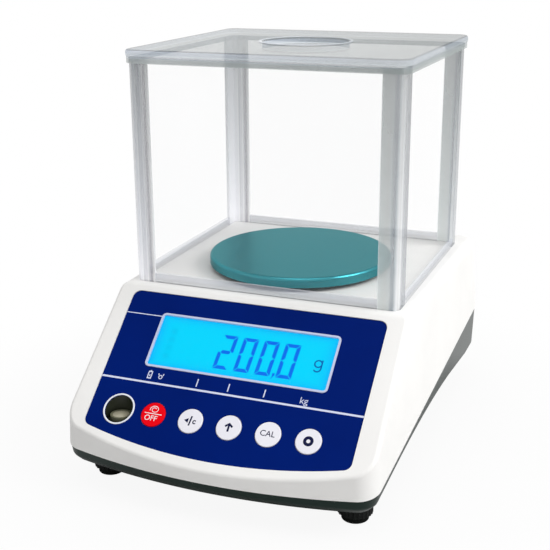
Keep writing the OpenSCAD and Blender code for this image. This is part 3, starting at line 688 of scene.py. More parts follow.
@dataclass(frozen=True)
class BareMetal(Finish):
    """Cast, milled or plated metal: a cloudy tone and a gloss broken by fine scratches."""

    shade: str = "#606060"
    scratch: float = 0.6

    def work(self, tree: bpy.types.NodeTree, shader: bpy.types.Node, place: bpy.types.NodeSocket) -> None:
        """Adds clouds to the tone, and scratches to the gloss.

        Args:
            tree: the material's tree.
            shader: its Principled shader.
            place: the Object coordinates.
        """
        tree.links.new(self.mottle(tree, place, 4.0, self.shade, self.colour), shader.inputs["Base Color"])
        stretched = add_node(tree, "ShaderNodeMapping", None, {"Vector": place, "Scale": (1.0, 0.08, 1.0)})
        inputs = {"Vector": stretched.outputs["Vector"], "Scale": per_metre(self.scratch), "Detail": 3.0}
        marks = add_node(tree, "ShaderNodeTexNoise", None, inputs).outputs["Fac"]
        gloss = self.vary(tree, marks, self.roughness - 0.1, self.roughness + 0.1)
        tree.links.new(gloss, shader.inputs["Roughness"])


@dataclass(frozen=True)
class ClearAcrylic(Finish):
    """Cast acrylic sheet: clear and polished, with faint wiping marks in its polish."""

    def work(self, tree: bpy.types.NodeTree, shader: bpy.types.Node, place: bpy.types.NodeSocket) -> None:
        """Puts wiping marks in the polish.

        Args:
            tree: the material's tree.
            shader: its Principled shader.
            place: the Object coordinates.
        """
        inputs = {"Vector": place, "Scale": per_metre(18.0), "Detail": 4.0}
        marks = add_node(tree, "ShaderNodeTexNoise", None, inputs).outputs["Fac"]
        gloss = self.vary(tree, marks, self.roughness * 0.8, self.roughness * 1.2)
        tree.links.new(gloss, shader.inputs["Roughness"])


@dataclass(frozen=True)
class PaintedBandAcrylic(ClearAcrylic):
    """Moulded acrylic frame, grey in its thickness, with painted bands of highlight and shade and a faint
    painted glow.

    Attributes:
        banding: what the bands run along.
        first: the place where they start, in millimetres.
        last: the place where they end.
        bands: each painted band as its share of the way and its tone; light bands are painted highlights,
            dark ones painted shade.
        foot: the place where the painted shade starts to deepen the bands, across their run.
        head: the place where the painted shade is deepest.
        painted_shade_tone: the tone of the painted shade there.
        painted_glow: how strongly the band tones are given out as a painted glow.
    """

    banding: Banding = Banding.HEIGHT
    first: float = 0.0
    last: float = 1.0
    bands: tuple[tuple[float, str], ...] = ((0.0, "#808080"), (1.0, "#808080"))
    foot: float = 0.0
    head: float = 1.0
    painted_shade_tone: str = "#ffffff"
    painted_glow: float = 0.2

    def work(self, tree: bpy.types.NodeTree, shader: bpy.types.Node, place: bpy.types.NodeSocket) -> None:
        """Draws the painted bands of highlight and shade, deepens them with painted shade across their run,
        adds the painted glow and polishes the surface.

        Args:
            tree: the material's tree.
            shader: its Principled shader.
            place: the Object coordinates.
        """
        super().work(tree, shader, place)
        parts = add_node(tree, "ShaderNodeSeparateXYZ", None, {"Vector": place})
        value = parts.outputs["X" if self.banding is Banding.WIDTH else "Z"]
        inputs = {"Value": value, "From Min": self.first * MM, "From Max": self.last * MM}
        along = add_node(tree, "ShaderNodeMapRange", None, inputs)
        ramp = add_node(tree, "ShaderNodeValToRGB", None, {"Fac": along.outputs["Result"]})
        stops = ramp.color_ramp.elements
        while len(stops) < len(self.bands):
            stops.new(0.5)
        for stop, (spot, tone) in zip(stops, self.bands):
            stop.position = spot
            stop.color = linear(tone)
        shade_axis = parts.outputs["Z" if self.banding is Banding.WIDTH else "X"]
        inputs = {"Value": shade_axis, "From Min": self.foot * MM, "From Max": self.head * MM}
        rise = add_node(tree, "ShaderNodeMapRange", None, inputs)
        # Painted shade: the bands darken towards the head of their run.
        inputs = {"Factor": rise.outputs["Result"], 6: ramp.outputs["Color"], 7: linear(self.painted_shade_tone)}
        settings = {"data_type": "RGBA", "blend_type": "MULTIPLY"}
        painted_shade_tones = add_node(tree, "ShaderNodeMix", settings, inputs)
        tree.links.new(painted_shade_tones.outputs[2], shader.inputs["Base Color"])
        # Painted glow: the band tones are also given out as light, so the clear plastic looks lit from
        # within.
        tree.links.new(painted_shade_tones.outputs[2], shader.inputs["Emission Color"])
        shader.inputs["Emission Strength"].default_value = self.painted_glow


@dataclass(frozen=True)
class LitCrystal(Finish):
    """Backlit liquid crystal: light of its own, even in the middle and deeper towards the edges."""

    edge: str = "#000000"
    middle: tuple[float, float, float] = (0.0, 0.0, 0.0)
    half: tuple[float, float] = (1.0, 1.0)
    tilt: float = 0.0

    def work(self, tree: bpy.types.NodeTree, shader: bpy.types.Node, place: bpy.types.NodeSocket) -> None:
        """Lights the surface, with a falling off towards the rim of the display.

        Args:
            tree: the material's tree.
            shader: its Principled shader.
            place: the Object coordinates.
        """
        back = tuple(-v * MM for v in self.middle)
        centred = add_node(tree, "ShaderNodeVectorMath", {"operation": "ADD"}, {0: place, 1: back})
        inputs = {"Vector": centred.outputs["Vector"], "Rotation": (-self.tilt, 0.0, 0.0)}
        turned_flat = add_node(tree, "ShaderNodeMapping", None, inputs)
        scale = (1 / (self.half[0] * MM), 1 / (self.half[1] * MM), 0.0)
        inputs = {0: turned_flat.outputs["Vector"], 1: scale}
        unit = add_node(tree, "ShaderNodeVectorMath", {"operation": "MULTIPLY"}, inputs)
        inputs = {0: unit.outputs["Vector"]}
        size = add_node(tree, "ShaderNodeVectorMath", {"operation": "ABSOLUTE"}, inputs)
        parts = add_node(tree, "ShaderNodeSeparateXYZ", None, {"Vector": size.outputs["Vector"]})
        power = {"operation": "POWER"}
        across = add_node(tree, "ShaderNodeMath", power, {0: parts.outputs["X"], 1: 16.0})
        up = add_node(tree, "ShaderNodeMath", power, {0: parts.outputs["Y"], 1: 7.0})
        inputs = {0: across.outputs[0], 1: up.outputs[0]}
        rim = add_node(tree, "ShaderNodeMath", {"operation": "MAXIMUM"}, inputs)
        ramp = add_node(tree, "ShaderNodeValToRGB", None, {"Fac": rim.outputs[0]})
        ramp.color_ramp.elements[0].color = linear(self.colour)
        ramp.color_ramp.elements[1].color = linear(self.edge)
        shader.inputs["Base Color"].default_value = linear(UNLIT)
        tree.links.new(ramp.outputs["Color"], shader.inputs["Emission Color"])
        shader.inputs["Emission Strength"].default_value = 1.0


@dataclass(frozen=True)
class LitSegment(Finish):
    """Driven segments of the display: dark crystal that the backlight still shines through."""

    shade: str = "#000000"

    def work(self, tree: bpy.types.NodeTree, shader: bpy.types.Node, place: bpy.types.NodeSocket) -> None:
        """Lights the segments in two close tones of their own.

        Args:
            tree: the material's tree.
            shader: its Principled shader.
            place: the Object coordinates.
        """
        tones = self.mottle(tree, place, 14.0, self.shade, self.colour)
        tree.links.new(tones, shader.inputs["Emission Color"])
        shader.inputs["Base Color"].default_value = linear(UNLIT)
        shader.inputs["Emission Strength"].default_value = 1.0


@dataclass(frozen=True)
class CircuitBoard(Finish):
    """Glass-epoxy board under solder mask: green, with the copper under it as straight lighter tracks."""

    track: str = "#2c8a58"

    def work(self, tree: bpy.types.NodeTree, shader: bpy.types.Node, place: bpy.types.NodeSocket) -> None:
        """Draws the tracks under the mask.

        Args:
            tree: the material's tree.
            shader: its Principled shader.
            place: the Object coordinates.
        """
        inputs = {
            "Vector": place,
            "Color1": linear(self.colour),
            "Color2": linear(self.colour),
            "Mortar": linear(self.track),
            "Scale": per_metre(9.0),
            "Mortar Size": 0.06,
        }
        tracks = add_node(tree, "ShaderNodeTexBrick", None, inputs)
        tree.links.new(tracks.outputs["Color"], shader.inputs["Base Color"])


@dataclass(frozen=True)
class Drawing:
    """The balance's shared sizes in millimetres, with the front at -Y and the bench at Z 0."""

    width: float = 194.0
    length: float = 278.0
    deck: float = 106.0
    deck_run: float = 86.0
    slope: float = 40.9
    bow: float = 12.3
    corner: float = 14.0
    side_draft: float = 3.0
    rear_draft: float = 8.0
    flare: float = 4.0
    wall: float = 3.0
    seam_front: float = 24.0
    seam_rise: float = 6.2
    base_front: float = 15.6
    base_rise: float = 1.0
    shield_y: float = 30.0
    pan_y: float = 20.5
    overlay_top: float = -0.5
    panel_top: float = 5.1
    key_row: float = -85.3
    level_x: float = -63.4
    keys: dict[Key, float] = field(
        default_factory=lambda: {
            Key.POWER: -40.7,
            Key.TARE: -16.7,
            Key.UP: 7.3,
            Key.CAL: 31.3,
            Key.UNIT: 55.3,
        }
    )
    feet: dict[Corner, Point] = field(
        default_factory=lambda: {
            Corner.FRONT_LEFT: (-78.8, -103.5),
            Corner.FRONT_RIGHT: (78.8, -103.5),
            Corner.REAR_LEFT: (-66.0, 95.0),
            Corner.REAR_RIGHT: (66.0, 95.0),
        }
    )

    @property
    def front(self) -> float:
        """Place of the front along Y."""
        return -self.length / 2

    @property
    def crease(self) -> float:
        """Place along Y of the edge where deck and slope meet."""
        return self.front + self.deck_run

    def seam(self, y: float) -> float:
        """Height of the parting line at a place along Y."""
        return self.seam_front + (y - self.front) * math.tan(math.radians(self.seam_rise))

    def base(self, y: float) -> float:
        """Height of the underside at a place along Y."""
        return self.base_front + (y - self.front) * math.tan(math.radians(self.base_rise))

    def above_slope(self, place: Vector) -> float:
        """Distance of a place above the sloped front."""
        a = math.radians(self.slope)
        return (place.z - self.deck) * math.cos(a) - (place.y - self.crease) * math.sin(a)

    def panel(self) -> Matrix:
        """Frame of the slope: X across, Y up the slope from the crease, Z out of it."""
        turn = Matrix.Rotation(math.radians(self.slope), 4, "X")
        return Matrix.Translation((0.0, self.crease, self.deck)) @ turn

    def plan(self, inset: float, rear: float, rear_half: float, steps: int = 1) -> list[Point]:
        """Plan outline with its bowed front.

        Args:
            inset: how far the outline is drawn in.
            rear: the place of its rear along Y.
            rear_half: half its width at the rear.
            steps: the steps along each straight side.

        Returns:
            The outline's points.
        """
        half = self.width / 2
        bow_r = (half * half + self.bow * self.bow) / (2 * self.bow)
        bow_y = self.front + bow_r
        cx = half - self.corner
        cy = bow_y - math.sqrt((bow_r - self.corner) ** 2 - cx * cx)
        end = math.degrees(math.atan2(cy - bow_y, cx))
        rx = rear_half - self.corner
        ry = rear - self.corner
        r = self.corner - inset
        turn = -math.degrees(math.atan2(rx - cx, ry - cy))
        points = arc((0.0, bow_y), bow_r - inset, -180 - end, end, 64)[:-1]
        points += arc((cx, cy), r, end, turn, 16)
        rear_right = arc((rx, ry), r, turn, 90, 16)
        side = [Vector(points[-1]).lerp(rear_right[0], i / steps) for i in range(1, steps)]
        points += [tuple(p) for p in side] + rear_right
        points += arc((-rx, ry), r, 90, 180 - turn, 16)
        points += [(-p.x, p.y) for p in reversed(side)]
        points += arc((-cx, cy), r, 180 - turn, 180 - end, 16)[:-1]
        return points


def settle(
    piece: Piece,
    body: str,
    finish: Finish,
    place: Matrix | None = None,
    crease: float = 35.0,
    stands_for: Sequence[str] = (),
) -> Piece:
    """Brings a drawn piece to metres in the frame, dresses it and lets it ride on its body.

    Args:
        piece: the piece, drawn in millimetres.
        body: the body that it moves with.
        finish: its finish.
        place: where it goes, in millimetres.
        crease: edges sharper than this many degrees stay sharp.
        stands_for: the frame's nodes that it replaces.

    Returns:
        The piece.
    """
    move(piece, Matrix.Scale(MM, 4) @ (place or Matrix.Identity(4)))
    bpy.ops.object.shade_smooth_by_angle(angle=math.radians(crease))
    even = piece.modifiers.new("even", "WEIGHTED_NORMAL")
    even.keep_sharp = True
    apply_modifier(piece, even)
    piece.data.materials.clear()
    piece.data.materials.append(finish.material())
    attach(piece, body)
    if stands_for:
        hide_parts(*stands_for)
    LOG.info("%s: %d faces on %s", piece.name, len(piece.data.polygons), body)
    return piece


# Moulded ABS, warm white: the light runs softly over it and its grain keeps it dull.
WHITE_ABS = MouldedPlastic("moulded_white_abs", "#f1f0ee", 0.45, specular=0.3, shade="#ebeae8")
# Moulded ABS, dark grey-green: nearly black from in front, and grey where it mirrors the room at its side.
DARK_ABS = MouldedPlastic("moulded_dark_abs", "#1a2421", 0.3, specular=0.3, tint="#a8d2c6", shade="#161e1b")
# Back-printed polyester film: deep even blue under a fine matt face.
BLUE_FILM = MouldedPlastic(
    "printed_polyester_film", "#001d6e", 0.4, specular=0.02, shade="#001a66", grain=0.6, depth=0.008
)
# Screen-printing ink, pale lavender white and flat.
PALE_INK = MouldedPlastic(
    "screen_printed_ink", "#d6dbf0", 0.5, specular=0.2, shade="#ccd2ea", grain=0.5, depth=0.01
)
# Moulded frame round the window, pale and satin.
PALE_FRAME = MouldedPlastic(
    "moulded_pale_frame", "#c6cce6", 0.38, specular=0.3, shade="#bcc3e0", grain=0.5, depth=0.01
)
# Key caps of satin moulded ABS with printed signs.
RED_CAP = MouldedPlastic(
    "moulded_red_cap", "#f00014", 0.35, specular=0.06, shade="#e80012", grain=0.6, depth=0.008
)
WHITE_CAP = MouldedPlastic(
    "moulded_white_cap", "#ecebf2", 0.35, specular=0.3, shade="#e6e5ed", grain=0.6, depth=0.008
)
DARK_INK = MouldedPlastic(
    "dark_key_ink", "#0c1240", 0.45, specular=0.1, shade="#0a0f36", grain=0.5, depth=0.01
)
WHITE_INK = MouldedPlastic(
    "white_key_ink", "#f3eef0", 0.45, specular=0.2, shade="#ece6e8", grain=0.5, depth=0.01
)
WHITE_TRIM = MouldedPlastic("moulded_white_trim", "#eef0f6", 0.34, shade="#e6e8f0", grain=0.5, depth=0.01)
# Black plastics: a moulded sleeve, nylon wheels and a socket.
SLEEVE_PLASTIC = MouldedPlastic(
    "moulded_sleeve", "#2c3024", 0.35, specular=0.3, shade="#24281e", depth=0.02
)
BLACK_NYLON = MouldedPlastic(
    "moulded_nylon", "#0c100f", 0.5, specular=0.2, shade="#080b0a", grain=0.7, depth=0.03
)
GREY_PLASTIC = MouldedPlastic("moulded_grey_plastic", "#55584f", 0.45, shade="#4b4e46", grain=0.7)
VIAL_PLASTIC = MouldedPlastic(
    "moulded_vial", "#63644f", 0.4, specular=0.3, shade="#585947", grain=1.5, patch=5.0
)
# Rubber: dull, nearly black, with a dusty bloom.
BLACK_RUBBER = MouldedPlastic(
    "moulded_rubber", "#0c0f0e", 0.85, specular=0.15, shade="#080a09", grain=0.8, depth=0.06
)
# Level fluid over its grey seat: olive, and seen through the vial's cap.
LEVEL_FLUID = MouldedPlastic(
    "level_fluid", "#5e5e50", 0.25, shade="#4b4b42", grain=2.5, depth=0.005, patch=6.0
)
LIGHT_GUIDE = MouldedPlastic("moulded_light_guide", "#eaf4f8", 0.25, shade="#dcebf2")
# Steel that a lathe has finished, in a cool green-blue: partly the steel's own tint, partly a painted
# reflection of the chamber's light.
PAN_STEEL = TurnedSteel(
    "turned_pan_steel", "#3a9099", 0.3, 1.0, tint="#c4d6d6", middle=(0.0, 20.5, 0.0), shade="#2c828c"
)
ZINC_STEEL = BareMetal("zinc_plated_steel", "#b9bcc0", 0.35, 1.0, shade="#9a9ea4")
CAST_ALUMINIUM = BareMetal("cast_aluminium", "#a9abad", 0.55, 1.0, shade="#8e9194", scratch=1.2)
MILLED_ALUMINIUM = BareMetal("milled_aluminium", "#c4c6c9", 0.32, 1.0, shade="#b0b3b7")
BRASS = BareMetal("turned_brass", "#c79a4c", 0.32, 1.0, shade="#b1863f")
BOARD = CircuitBoard("circuit_board", "#12663c", 0.4)
# Clear acrylic: posts, lid and rails with painted highlight and shade bands and a painted glow; clearer
# sheets.
POST_ACRYLIC = PaintedBandAcrylic(
    "post_acrylic_painted_bands",
    "#b9bec4",
    0.1,
    ior=1.49,
    specular=0.35,
    alpha=0.5,
    banding=Banding.WIDTH,
    first=-86.25,
    last=86.25,
    # Painted highlights and shade: light and dark stripes across the width stand for the light on the
    # posts' rounded corners and legs.
    bands=(
        (0.0, "#dcdde2"),
        (0.012, "#fafaff"),
        (0.028, "#f8f8fc"),
        (0.0315, "#ffffff"),
        (0.035, "#cbccd2"),
        (0.043, "#e6e6ea"),
        (0.047, "#dedee4"),
        (0.051, "#ffffff"),
        (0.057, "#b4b4bd"),
        (0.066, "#93929a"),
        (0.069, "#93929a"),
        (0.072, "#ffffff"),
        (0.08, "#e8e8ea"),
        (0.5, "#d8dadc"),
        (0.92, "#f4f8fa"),
        (0.926, "#d0d7d6"),
        (0.95, "#ced2d1"),
        (0.962, "#ccd3d4"),
        (0.968, "#a4acb3"),
        (0.977, "#9ea8af"),
        (0.983, "#dfe4e8"),
        (0.988, "#f6f8fa"),
        (0.993, "#dedede"),
        (0.997, "#f0f1f3"),
        (1.0, "#868b92"),
    ),
    # Painted shade: the posts darken towards the lid.
    foot=106.0,
    head=246.0,
    painted_shade_tone="#a6aaab",
)
LID_ACRYLIC = PaintedBandAcrylic(
    "lid_acrylic_painted_bands",
    "#b9bec4",
    0.1,
    ior=1.49,
    specular=0.05,
    alpha=0.45,
    first=242.7,
    last=251.6,
    # Painted highlights and shade along the lid's edge, with a dark painted line where the top turns into
    # the bullnose.
    bands=(
        (0.0, "#b4bab9"),
        (0.32, "#b8bec0"),
        (0.35, "#ccd3da"),
        (0.39, "#9fa8b0"),
        (0.5, "#a1a9b1"),
        (0.55, "#d3dce6"),
        (0.62, "#a9b4c2"),
        (0.84, "#a9b3c3"),
        (0.865, "#343c4a"),
        (0.915, "#4a515a"),
        (0.928, "#666c69"),
        (0.935, "#666c69"),
        (0.95, "#a0a6a6"),
        (1.0, "#dfe1ec"),
    ),
    # Painted shade: the lid darkens towards its right.
    foot=-60.0,
    head=88.0,
    painted_shade_tone="#ced3d1",
)
RAIL_ACRYLIC = PaintedBandAcrylic(
    "rail_acrylic_painted_bands",
    "#b9bec4",
    0.1,
    ior=1.49,
    specular=0.35,
    alpha=0.26,
    # A fainter painted glow than on the posts and lid.
    painted_glow=0.08,
    first=106.0,
    last=112.0,
    # Painted highlight and shade lines along the rails' height.
    bands=(
        (0.0, "#d8dae0"),
        (0.07, "#4c5158"),
        (0.15, "#e6e8f0"),
        (0.3, "#c2c6d0"),
        (0.36, "#4c515a"),
        (0.44, "#c2c7d4"),
        (0.7, "#d0d5e4"),
        (0.92, "#b4b9c4"),
        (1.0, "#f2f4fc"),
    ),
)
TOP_RAIL_ACRYLIC = ClearAcrylic("moulded_top_rail_acrylic", "#9fa5a6", 0.1, ior=1.49, alpha=0.3)
PANE_ACRYLIC = ClearAcrylic("polished_pane_acrylic", "#fdfdfe", 0.05, ior=1.49, specular=0.25, alpha=0.02)
WINDOW_ACRYLIC = ClearAcrylic("hard_coated_window", "#0a8fe0", 0.08, ior=1.49, specular=0.04, alpha=0.06)
SEGMENT = LitSegment("driven_segments", "#0a70f0", 0.3, specular=0.05, shade="#0962e8")
UNIT_SEGMENT = LitSegment("driven_unit_sign", "#0a58a8", 0.3, specular=0.05, shade="#094e9a")
GHOST_SEGMENT = LitSegment("idle_segments", "#00d0f6", 0.3, specular=0.05, shade="#00cbf3")


@dataclass
class UpperShell:
    """The white upper housing: deck, sloped front with its openings, and drafted walls."""

    drawing: Drawing
    deck_radius: float = 6.0
    lip_radius: float = 2.6
    recess: float = 1.2
    panel_width: float = 165.0
    panel_length: float = 102.4
    panel_bow: float = 10.3
    panel_corner: float = 5.0
    panel_gap: float = 0.15
    key_hole: float = 15.6
    level_hole: float = 20.4
    window: tuple[float, float] = (113.2, 34.2)
    window_y: float = -36.9
    deck_hole: float = 24.0
    collar_wall: float = 3.0
    collar_height: float = 1.2
    collar_edge: float = 0.6
    recess_edge: float = 0.45

    def body(self) -> Piece:
        """Raises the plan outline to the deck, leans its walls and cuts the slope and the parting line.

        Returns:
            The open skin.
        """
        d = self.drawing
        side = math.tan(math.radians(d.side_draft))
        rear = math.tan(math.radians(d.rear_draft))
        rear_y = d.length / 2
        low = d.seam_front - 6.0
        half_low = d.width / 2 + (d.seam_front - low) * side
        rear_low = rear_y + (d.seam(rear_y) - low) * rear
        points = d.plan(0.0, rear_low, d.width / 2 + d.flare)
        piece = slab("upper_shell", points, low, d.deck)
        lean = (d.width / 2 - (d.deck - d.seam_front) * side) / (d.width / 2)
        with editing(piece):
            pick(piece, Pick.VERTS, lambda p, n: p.z > d.deck - NEAR)
            bpy.ops.transform.resize(value=(lean, 1.0, 1.0), center_override=(0, 0, 0))
            pick(piece, Pick.VERTS, lambda p, n: p.z > d.deck - NEAR and p.y > 0)
            bpy.ops.transform.translate(value=(0, -(d.deck - low) * rear, 0))
            pick(piece, Pick.VERTS, lambda p, n: p.z < low + NEAR)
            bpy.ops.transform.resize(value=(half_low / (d.width / 2), 1.0, 1.0), center_override=(0, 0, 0))
            tilt = math.radians(d.slope)
            bpy.ops.mesh.select_all(action="SELECT")
            bpy.ops.mesh.bisect(
                plane_co=(0, d.crease, d.deck),
                plane_no=(0, -math.sin(tilt), math.cos(tilt)),
                use_fill=True,
                clear_outer=True,
            )
            rise = math.radians(d.seam_rise)
            bpy.ops.mesh.select_all(action="SELECT")
            bpy.ops.mesh.bisect(
                plane_co=(0, d.front, d.seam_front),
                plane_no=(0, -math.sin(rise), math.cos(rise)),
                use_fill=False,
                clear_inner=True,
            )
            bpy.ops.mesh.select_all(action="SELECT")
            bpy.ops.mesh.remove_doubles(threshold=0.001)
            bpy.ops.mesh.normals_make_consistent(inside=False)
        # Where the planes cut an edge, the last digits differ from run to run.
        for vertex in piece.data.vertices:
            vertex.co = [round(value, 3) for value in vertex.co]
        set_order(piece)
        return piece

    def radius_at(self, place: Vector) -> float:
        """Radius of the rounding: larger round the deck than round the slope."""
        return self.deck_radius if place.z > self.drawing.deck - 0.05 else self.lip_radius

    def panel_outline(self) -> list[Point]:
        """Outline of the overlay's recess, with its bowed lower edge and round corners.

        Returns:
            The outline's points in the frame of the slope.
        """
        half = self.panel_width / 2 + self.panel_gap
        top = -self.drawing.panel_top + self.panel_gap
        low = top - self.panel_length - 2 * self.panel_gap
        bow_r = (half * half + self.panel_bow**2) / (2 * self.panel_bow)
        r = self.panel_corner
        cx = half - r
        cy = low + bow_r - math.sqrt((bow_r - r) ** 2 - cx * cx)
        end = math.degrees(math.atan2(cy - low - bow_r, cx))
        points = arc((0.0, low + bow_r), bow_r, -180 - end, end, 40)[:-1]
        points += arc((cx, cy), r, end, 0, 8)
        points += arc((half - r, top - r), r, 0, 90, 8)
        points += arc((r - half, top - r), r, 90, 180, 8)
        points += arc((-cx, cy), r, 180, 180 - end, 8)[:-1]
        return points

    def openings(self) -> list[Piece]:
        """Shapes of the recess, window, key holes, level well and deck hole.

        Returns:
            The shapes to cut away.
        """
        d = self.drawing
        panel = d.panel()
        shapes = [slab("recess", self.panel_outline(), -self.recess, 8.0)]
        x, y = self.window[0] / 2, self.window[1] / 2
        box = rectangle(-x, self.window_y - y, x, self.window_y + y)
        shapes.append(slab("window", box, -8.0, 4.0))
        for x in d.keys.values():
            shapes.append(slab("key_hole", arc((x, d.key_row), self.key_hole / 2, 0, 352.5, 47), -8.0, 4.0))
        for shape in shapes:
            move(shape, panel)
        level = panel @ Vector((d.level_x, d.key_row, 0.0))
        shapes.append(slab("well", arc((level.x, level.y), self.level_hole / 2, 0, 354, 59), 20.0, 90.0))
        shapes.append(slab("post_hole", arc((0.0, d.pan_y), self.deck_hole / 2, 0, 355, 71), 80.0, 120.0))
        return shapes

    def make(self) -> Piece:
        """Builds the shell with its wall, collar, openings and softened edges.

        Returns:
            The finished shell.
        """
        d = self.drawing
        piece = self.body()
        roll_edges(
            piece,
            self.radius_at,
            6,
            lambda p, w: abs(p.z - d.deck) < NEAR or abs(d.above_slope(p)) < NEAR,
        )
        thicken(piece, d.wall)
        outer = self.deck_hole / 2 + self.collar_wall
        top = d.deck + self.collar_height
        inner, edge = self.deck_hole / 2 - 2, self.collar_edge
        section = [(inner, d.deck - 1), (outer, d.deck - 1), (outer, top - edge)]
        section += arc((outer - edge, top - edge), edge, 0, 90, 4)[1:] + [(inner, top)]
        collar = turned("collar", section)
        move(collar, Matrix.Translation((0.0, d.pan_y, 0.0)))
        carve(piece, collar, Cut.ADD)
        for shape in self.openings():
            carve(piece, shape)
        half = self.panel_width / 2 + 1.0
        round_edges(
            piece,
            self.recess_edge,
            2,
            lambda p, w: abs(d.above_slope(p)) < NEAR and abs(p.x) < half and p.z < d.deck - 2.5,
        )
        set_order(piece)
        return settle(piece, "housing", WHITE_ABS, stands_for=["upper_housing"])


@dataclass
class LowerTray:
    """The dark lower housing: a shallow tray with a shadow step under the parting line."""

    drawing: Drawing
    reveal: float = 0.5
    taper: float = 1.0
    chamfer: float = 3.5
    edge: float = 1.2
    floor: float = 3.0
    arch_y: float = 5.0
    arch_height: float = 30.0
    arch_radius: float = 1500.0
    arch_lean: float = 60.0
    foot_hole: float = 9.5
    screw_hole: float = 6.6
    screws: tuple[Point, ...] = ((24.0, -126.0), (85.0, 6.0), (80.0, 119.0))
    cell_screws: tuple[Point, ...] = ((0.0, 77.5), (0.0, 63.5))
    cell_hole: float = 10.0
    stop: Point = (0.0, -36.5)
    stop_hole: float = 5.0
    sleeve_wall: float = 1.4
    sleeve_height: float = 18.0
    door: tuple[float, float] = (32.6, 105.6)
    door_place: Point = (47.0, 14.5)
    inlet: tuple[float, float, float] = (-58.0, 139.0, 37.3)
    inlet_hole: float = 9.2

    def outline(self, inset: float) -> list[Vector]:
        """Plan outline of the tray, drawn in by an inset."""
        d = self.drawing
        rear = d.length / 2
        half = d.width / 2 - (d.seam(rear) - d.seam_front) * math.tan(math.radians(d.side_draft)) + d.flare
        return [Vector((x, y, 0.0)) for x, y in d.plan(inset, rear, half, 48)]

    def wall_foot(self, place: Vector, side: float) -> float:
        """Height where the wall ends and turns in, which rises to an arch along each side.

        Args:
            place: the place on the outline.
            side: how far the side's own line stands out from the middle.

        Returns:
            The height.
        """
        lean = math.radians(self.arch_lean)
        drop = (place.y - self.arch_y) ** 2 / (2 * self.arch_radius * math.cos(lean))
        arch = self.arch_height - drop - (side - abs(place.x)) * math.tan(lean)
        return max(arch, self.drawing.base(place.y) + self.chamfer)

    def rings(self) -> list[list[Vector]]:
        """Outlines of the underside, of the wall's foot and of the parting line.

        Returns:
            The three rings, point for point.
        """
        d = self.drawing
        outer = self.outline(0.0)
        inward = [b - a for a, b in zip(outer, self.outline(1.0))]
        straight = sorted((p.x for p in outer if abs(p.y) < 80.0 and p.x > 0.0))
        middle = (straight[0] + straight[-1]) / 2
        turn = (straight[-1] - straight[0]) / 160.0
        rings: list[list[Vector]] = [[], [], []]
        for place, way in zip(outer, inward):
            foot = self.wall_foot(place, middle + turn * place.y)
            base, seam = d.base(place.y), d.seam(place.y)
            wall = self.reveal + self.taper * (seam - foot) / (seam - base - self.chamfer)
            under = wall + max(self.chamfer, (foot - base) / math.tan(math.radians(self.arch_lean)))
            for ring, inset, height in zip(rings, (under, wall, self.reveal), (base, foot, seam)):
                spot = place + way * inset
                ring.append(Vector((spot.x, spot.y, height)))
        return rings

    def skin(self) -> Piece:
        """Raises the underside's outline over its turned-in foot to the parting line, and rounds the edges.

        Returns:
            The open skin.
        """
        rings = self.rings()
        piece = lofted("lower_tray", rings)
        with editing(piece):
            pick(piece, Pick.VERTS, lambda p, n: abs(p.z - self.drawing.base(p.y)) < NEAR)
            bpy.ops.mesh.edge_face_add()
            bpy.ops.mesh.select_all(action="SELECT")
            bpy.ops.mesh.normals_make_consistent(inside=False)
        middles = [(a + b) / 2 for ring in rings[:2] for a, b in zip(ring, ring[1:] + ring[:1])]
        round_edges(piece, self.edge, 3, lambda p, w: min((p - m).length_squared for m in middles) < 0.0001)
        return piece

    def make(self) -> Piece:
        """Builds the tray with its wall, screw sleeves and openings.

        Returns:
            The finished tray.
        """
        d = self.drawing
        piece = self.skin()
        thicken(piece, self.floor)
        holes = [(p, self.foot_hole) for p in d.feet.values()]
        holes += [((s * x, y), self.screw_hole) for x, y in self.screws for s in (-1, 1)]
        holes += [(p, self.cell_hole) for p in self.cell_screws] + [(self.stop, self.stop_hole)]
        for (x, y), size in holes:
            carve(piece, slab("hole", arc((x, y), size / 2, 0, 350, 35), 5.0, d.base(y) + 8.0))
        x, y = self.door[0] / 2, self.door[1] / 2
        cx, cy = self.door_place
        box = rectangle(cx - x, cy - y, cx + x, cy + y)
        carve(piece, slab("door", box, 5.0, d.base(cy) + 8.0))
        socket = slab("socket", arc((0.0, 0.0), self.inlet_hole / 2, 0, 350, 35), -12.0, 12.0)
        move(socket, Matrix.Translation(self.inlet) @ Matrix.Rotation(math.pi / 2, 4, "X"))
        carve(piece, socket)
        sleeves = [piece]
        sleeved = len(d.feet) + 2 * len(self.screws)
        for (x, y), size in holes[:sleeved]:
            wall = size / 2 + self.sleeve_wall
            low, high = d.base(y) + 1.0, min(d.seam(y) - 1.0, d.base(y) + self.sleeve_height)
            sleeve = turned("sleeve", rectangle(size / 2, low, wall, high), 36)
            move(sleeve, Matrix.Translation((x, y, 0.0)))
            sleeves.append(sleeve)
        return settle(joined(sleeves), "housing", DARK_ABS, stands_for=["lower_housing"])


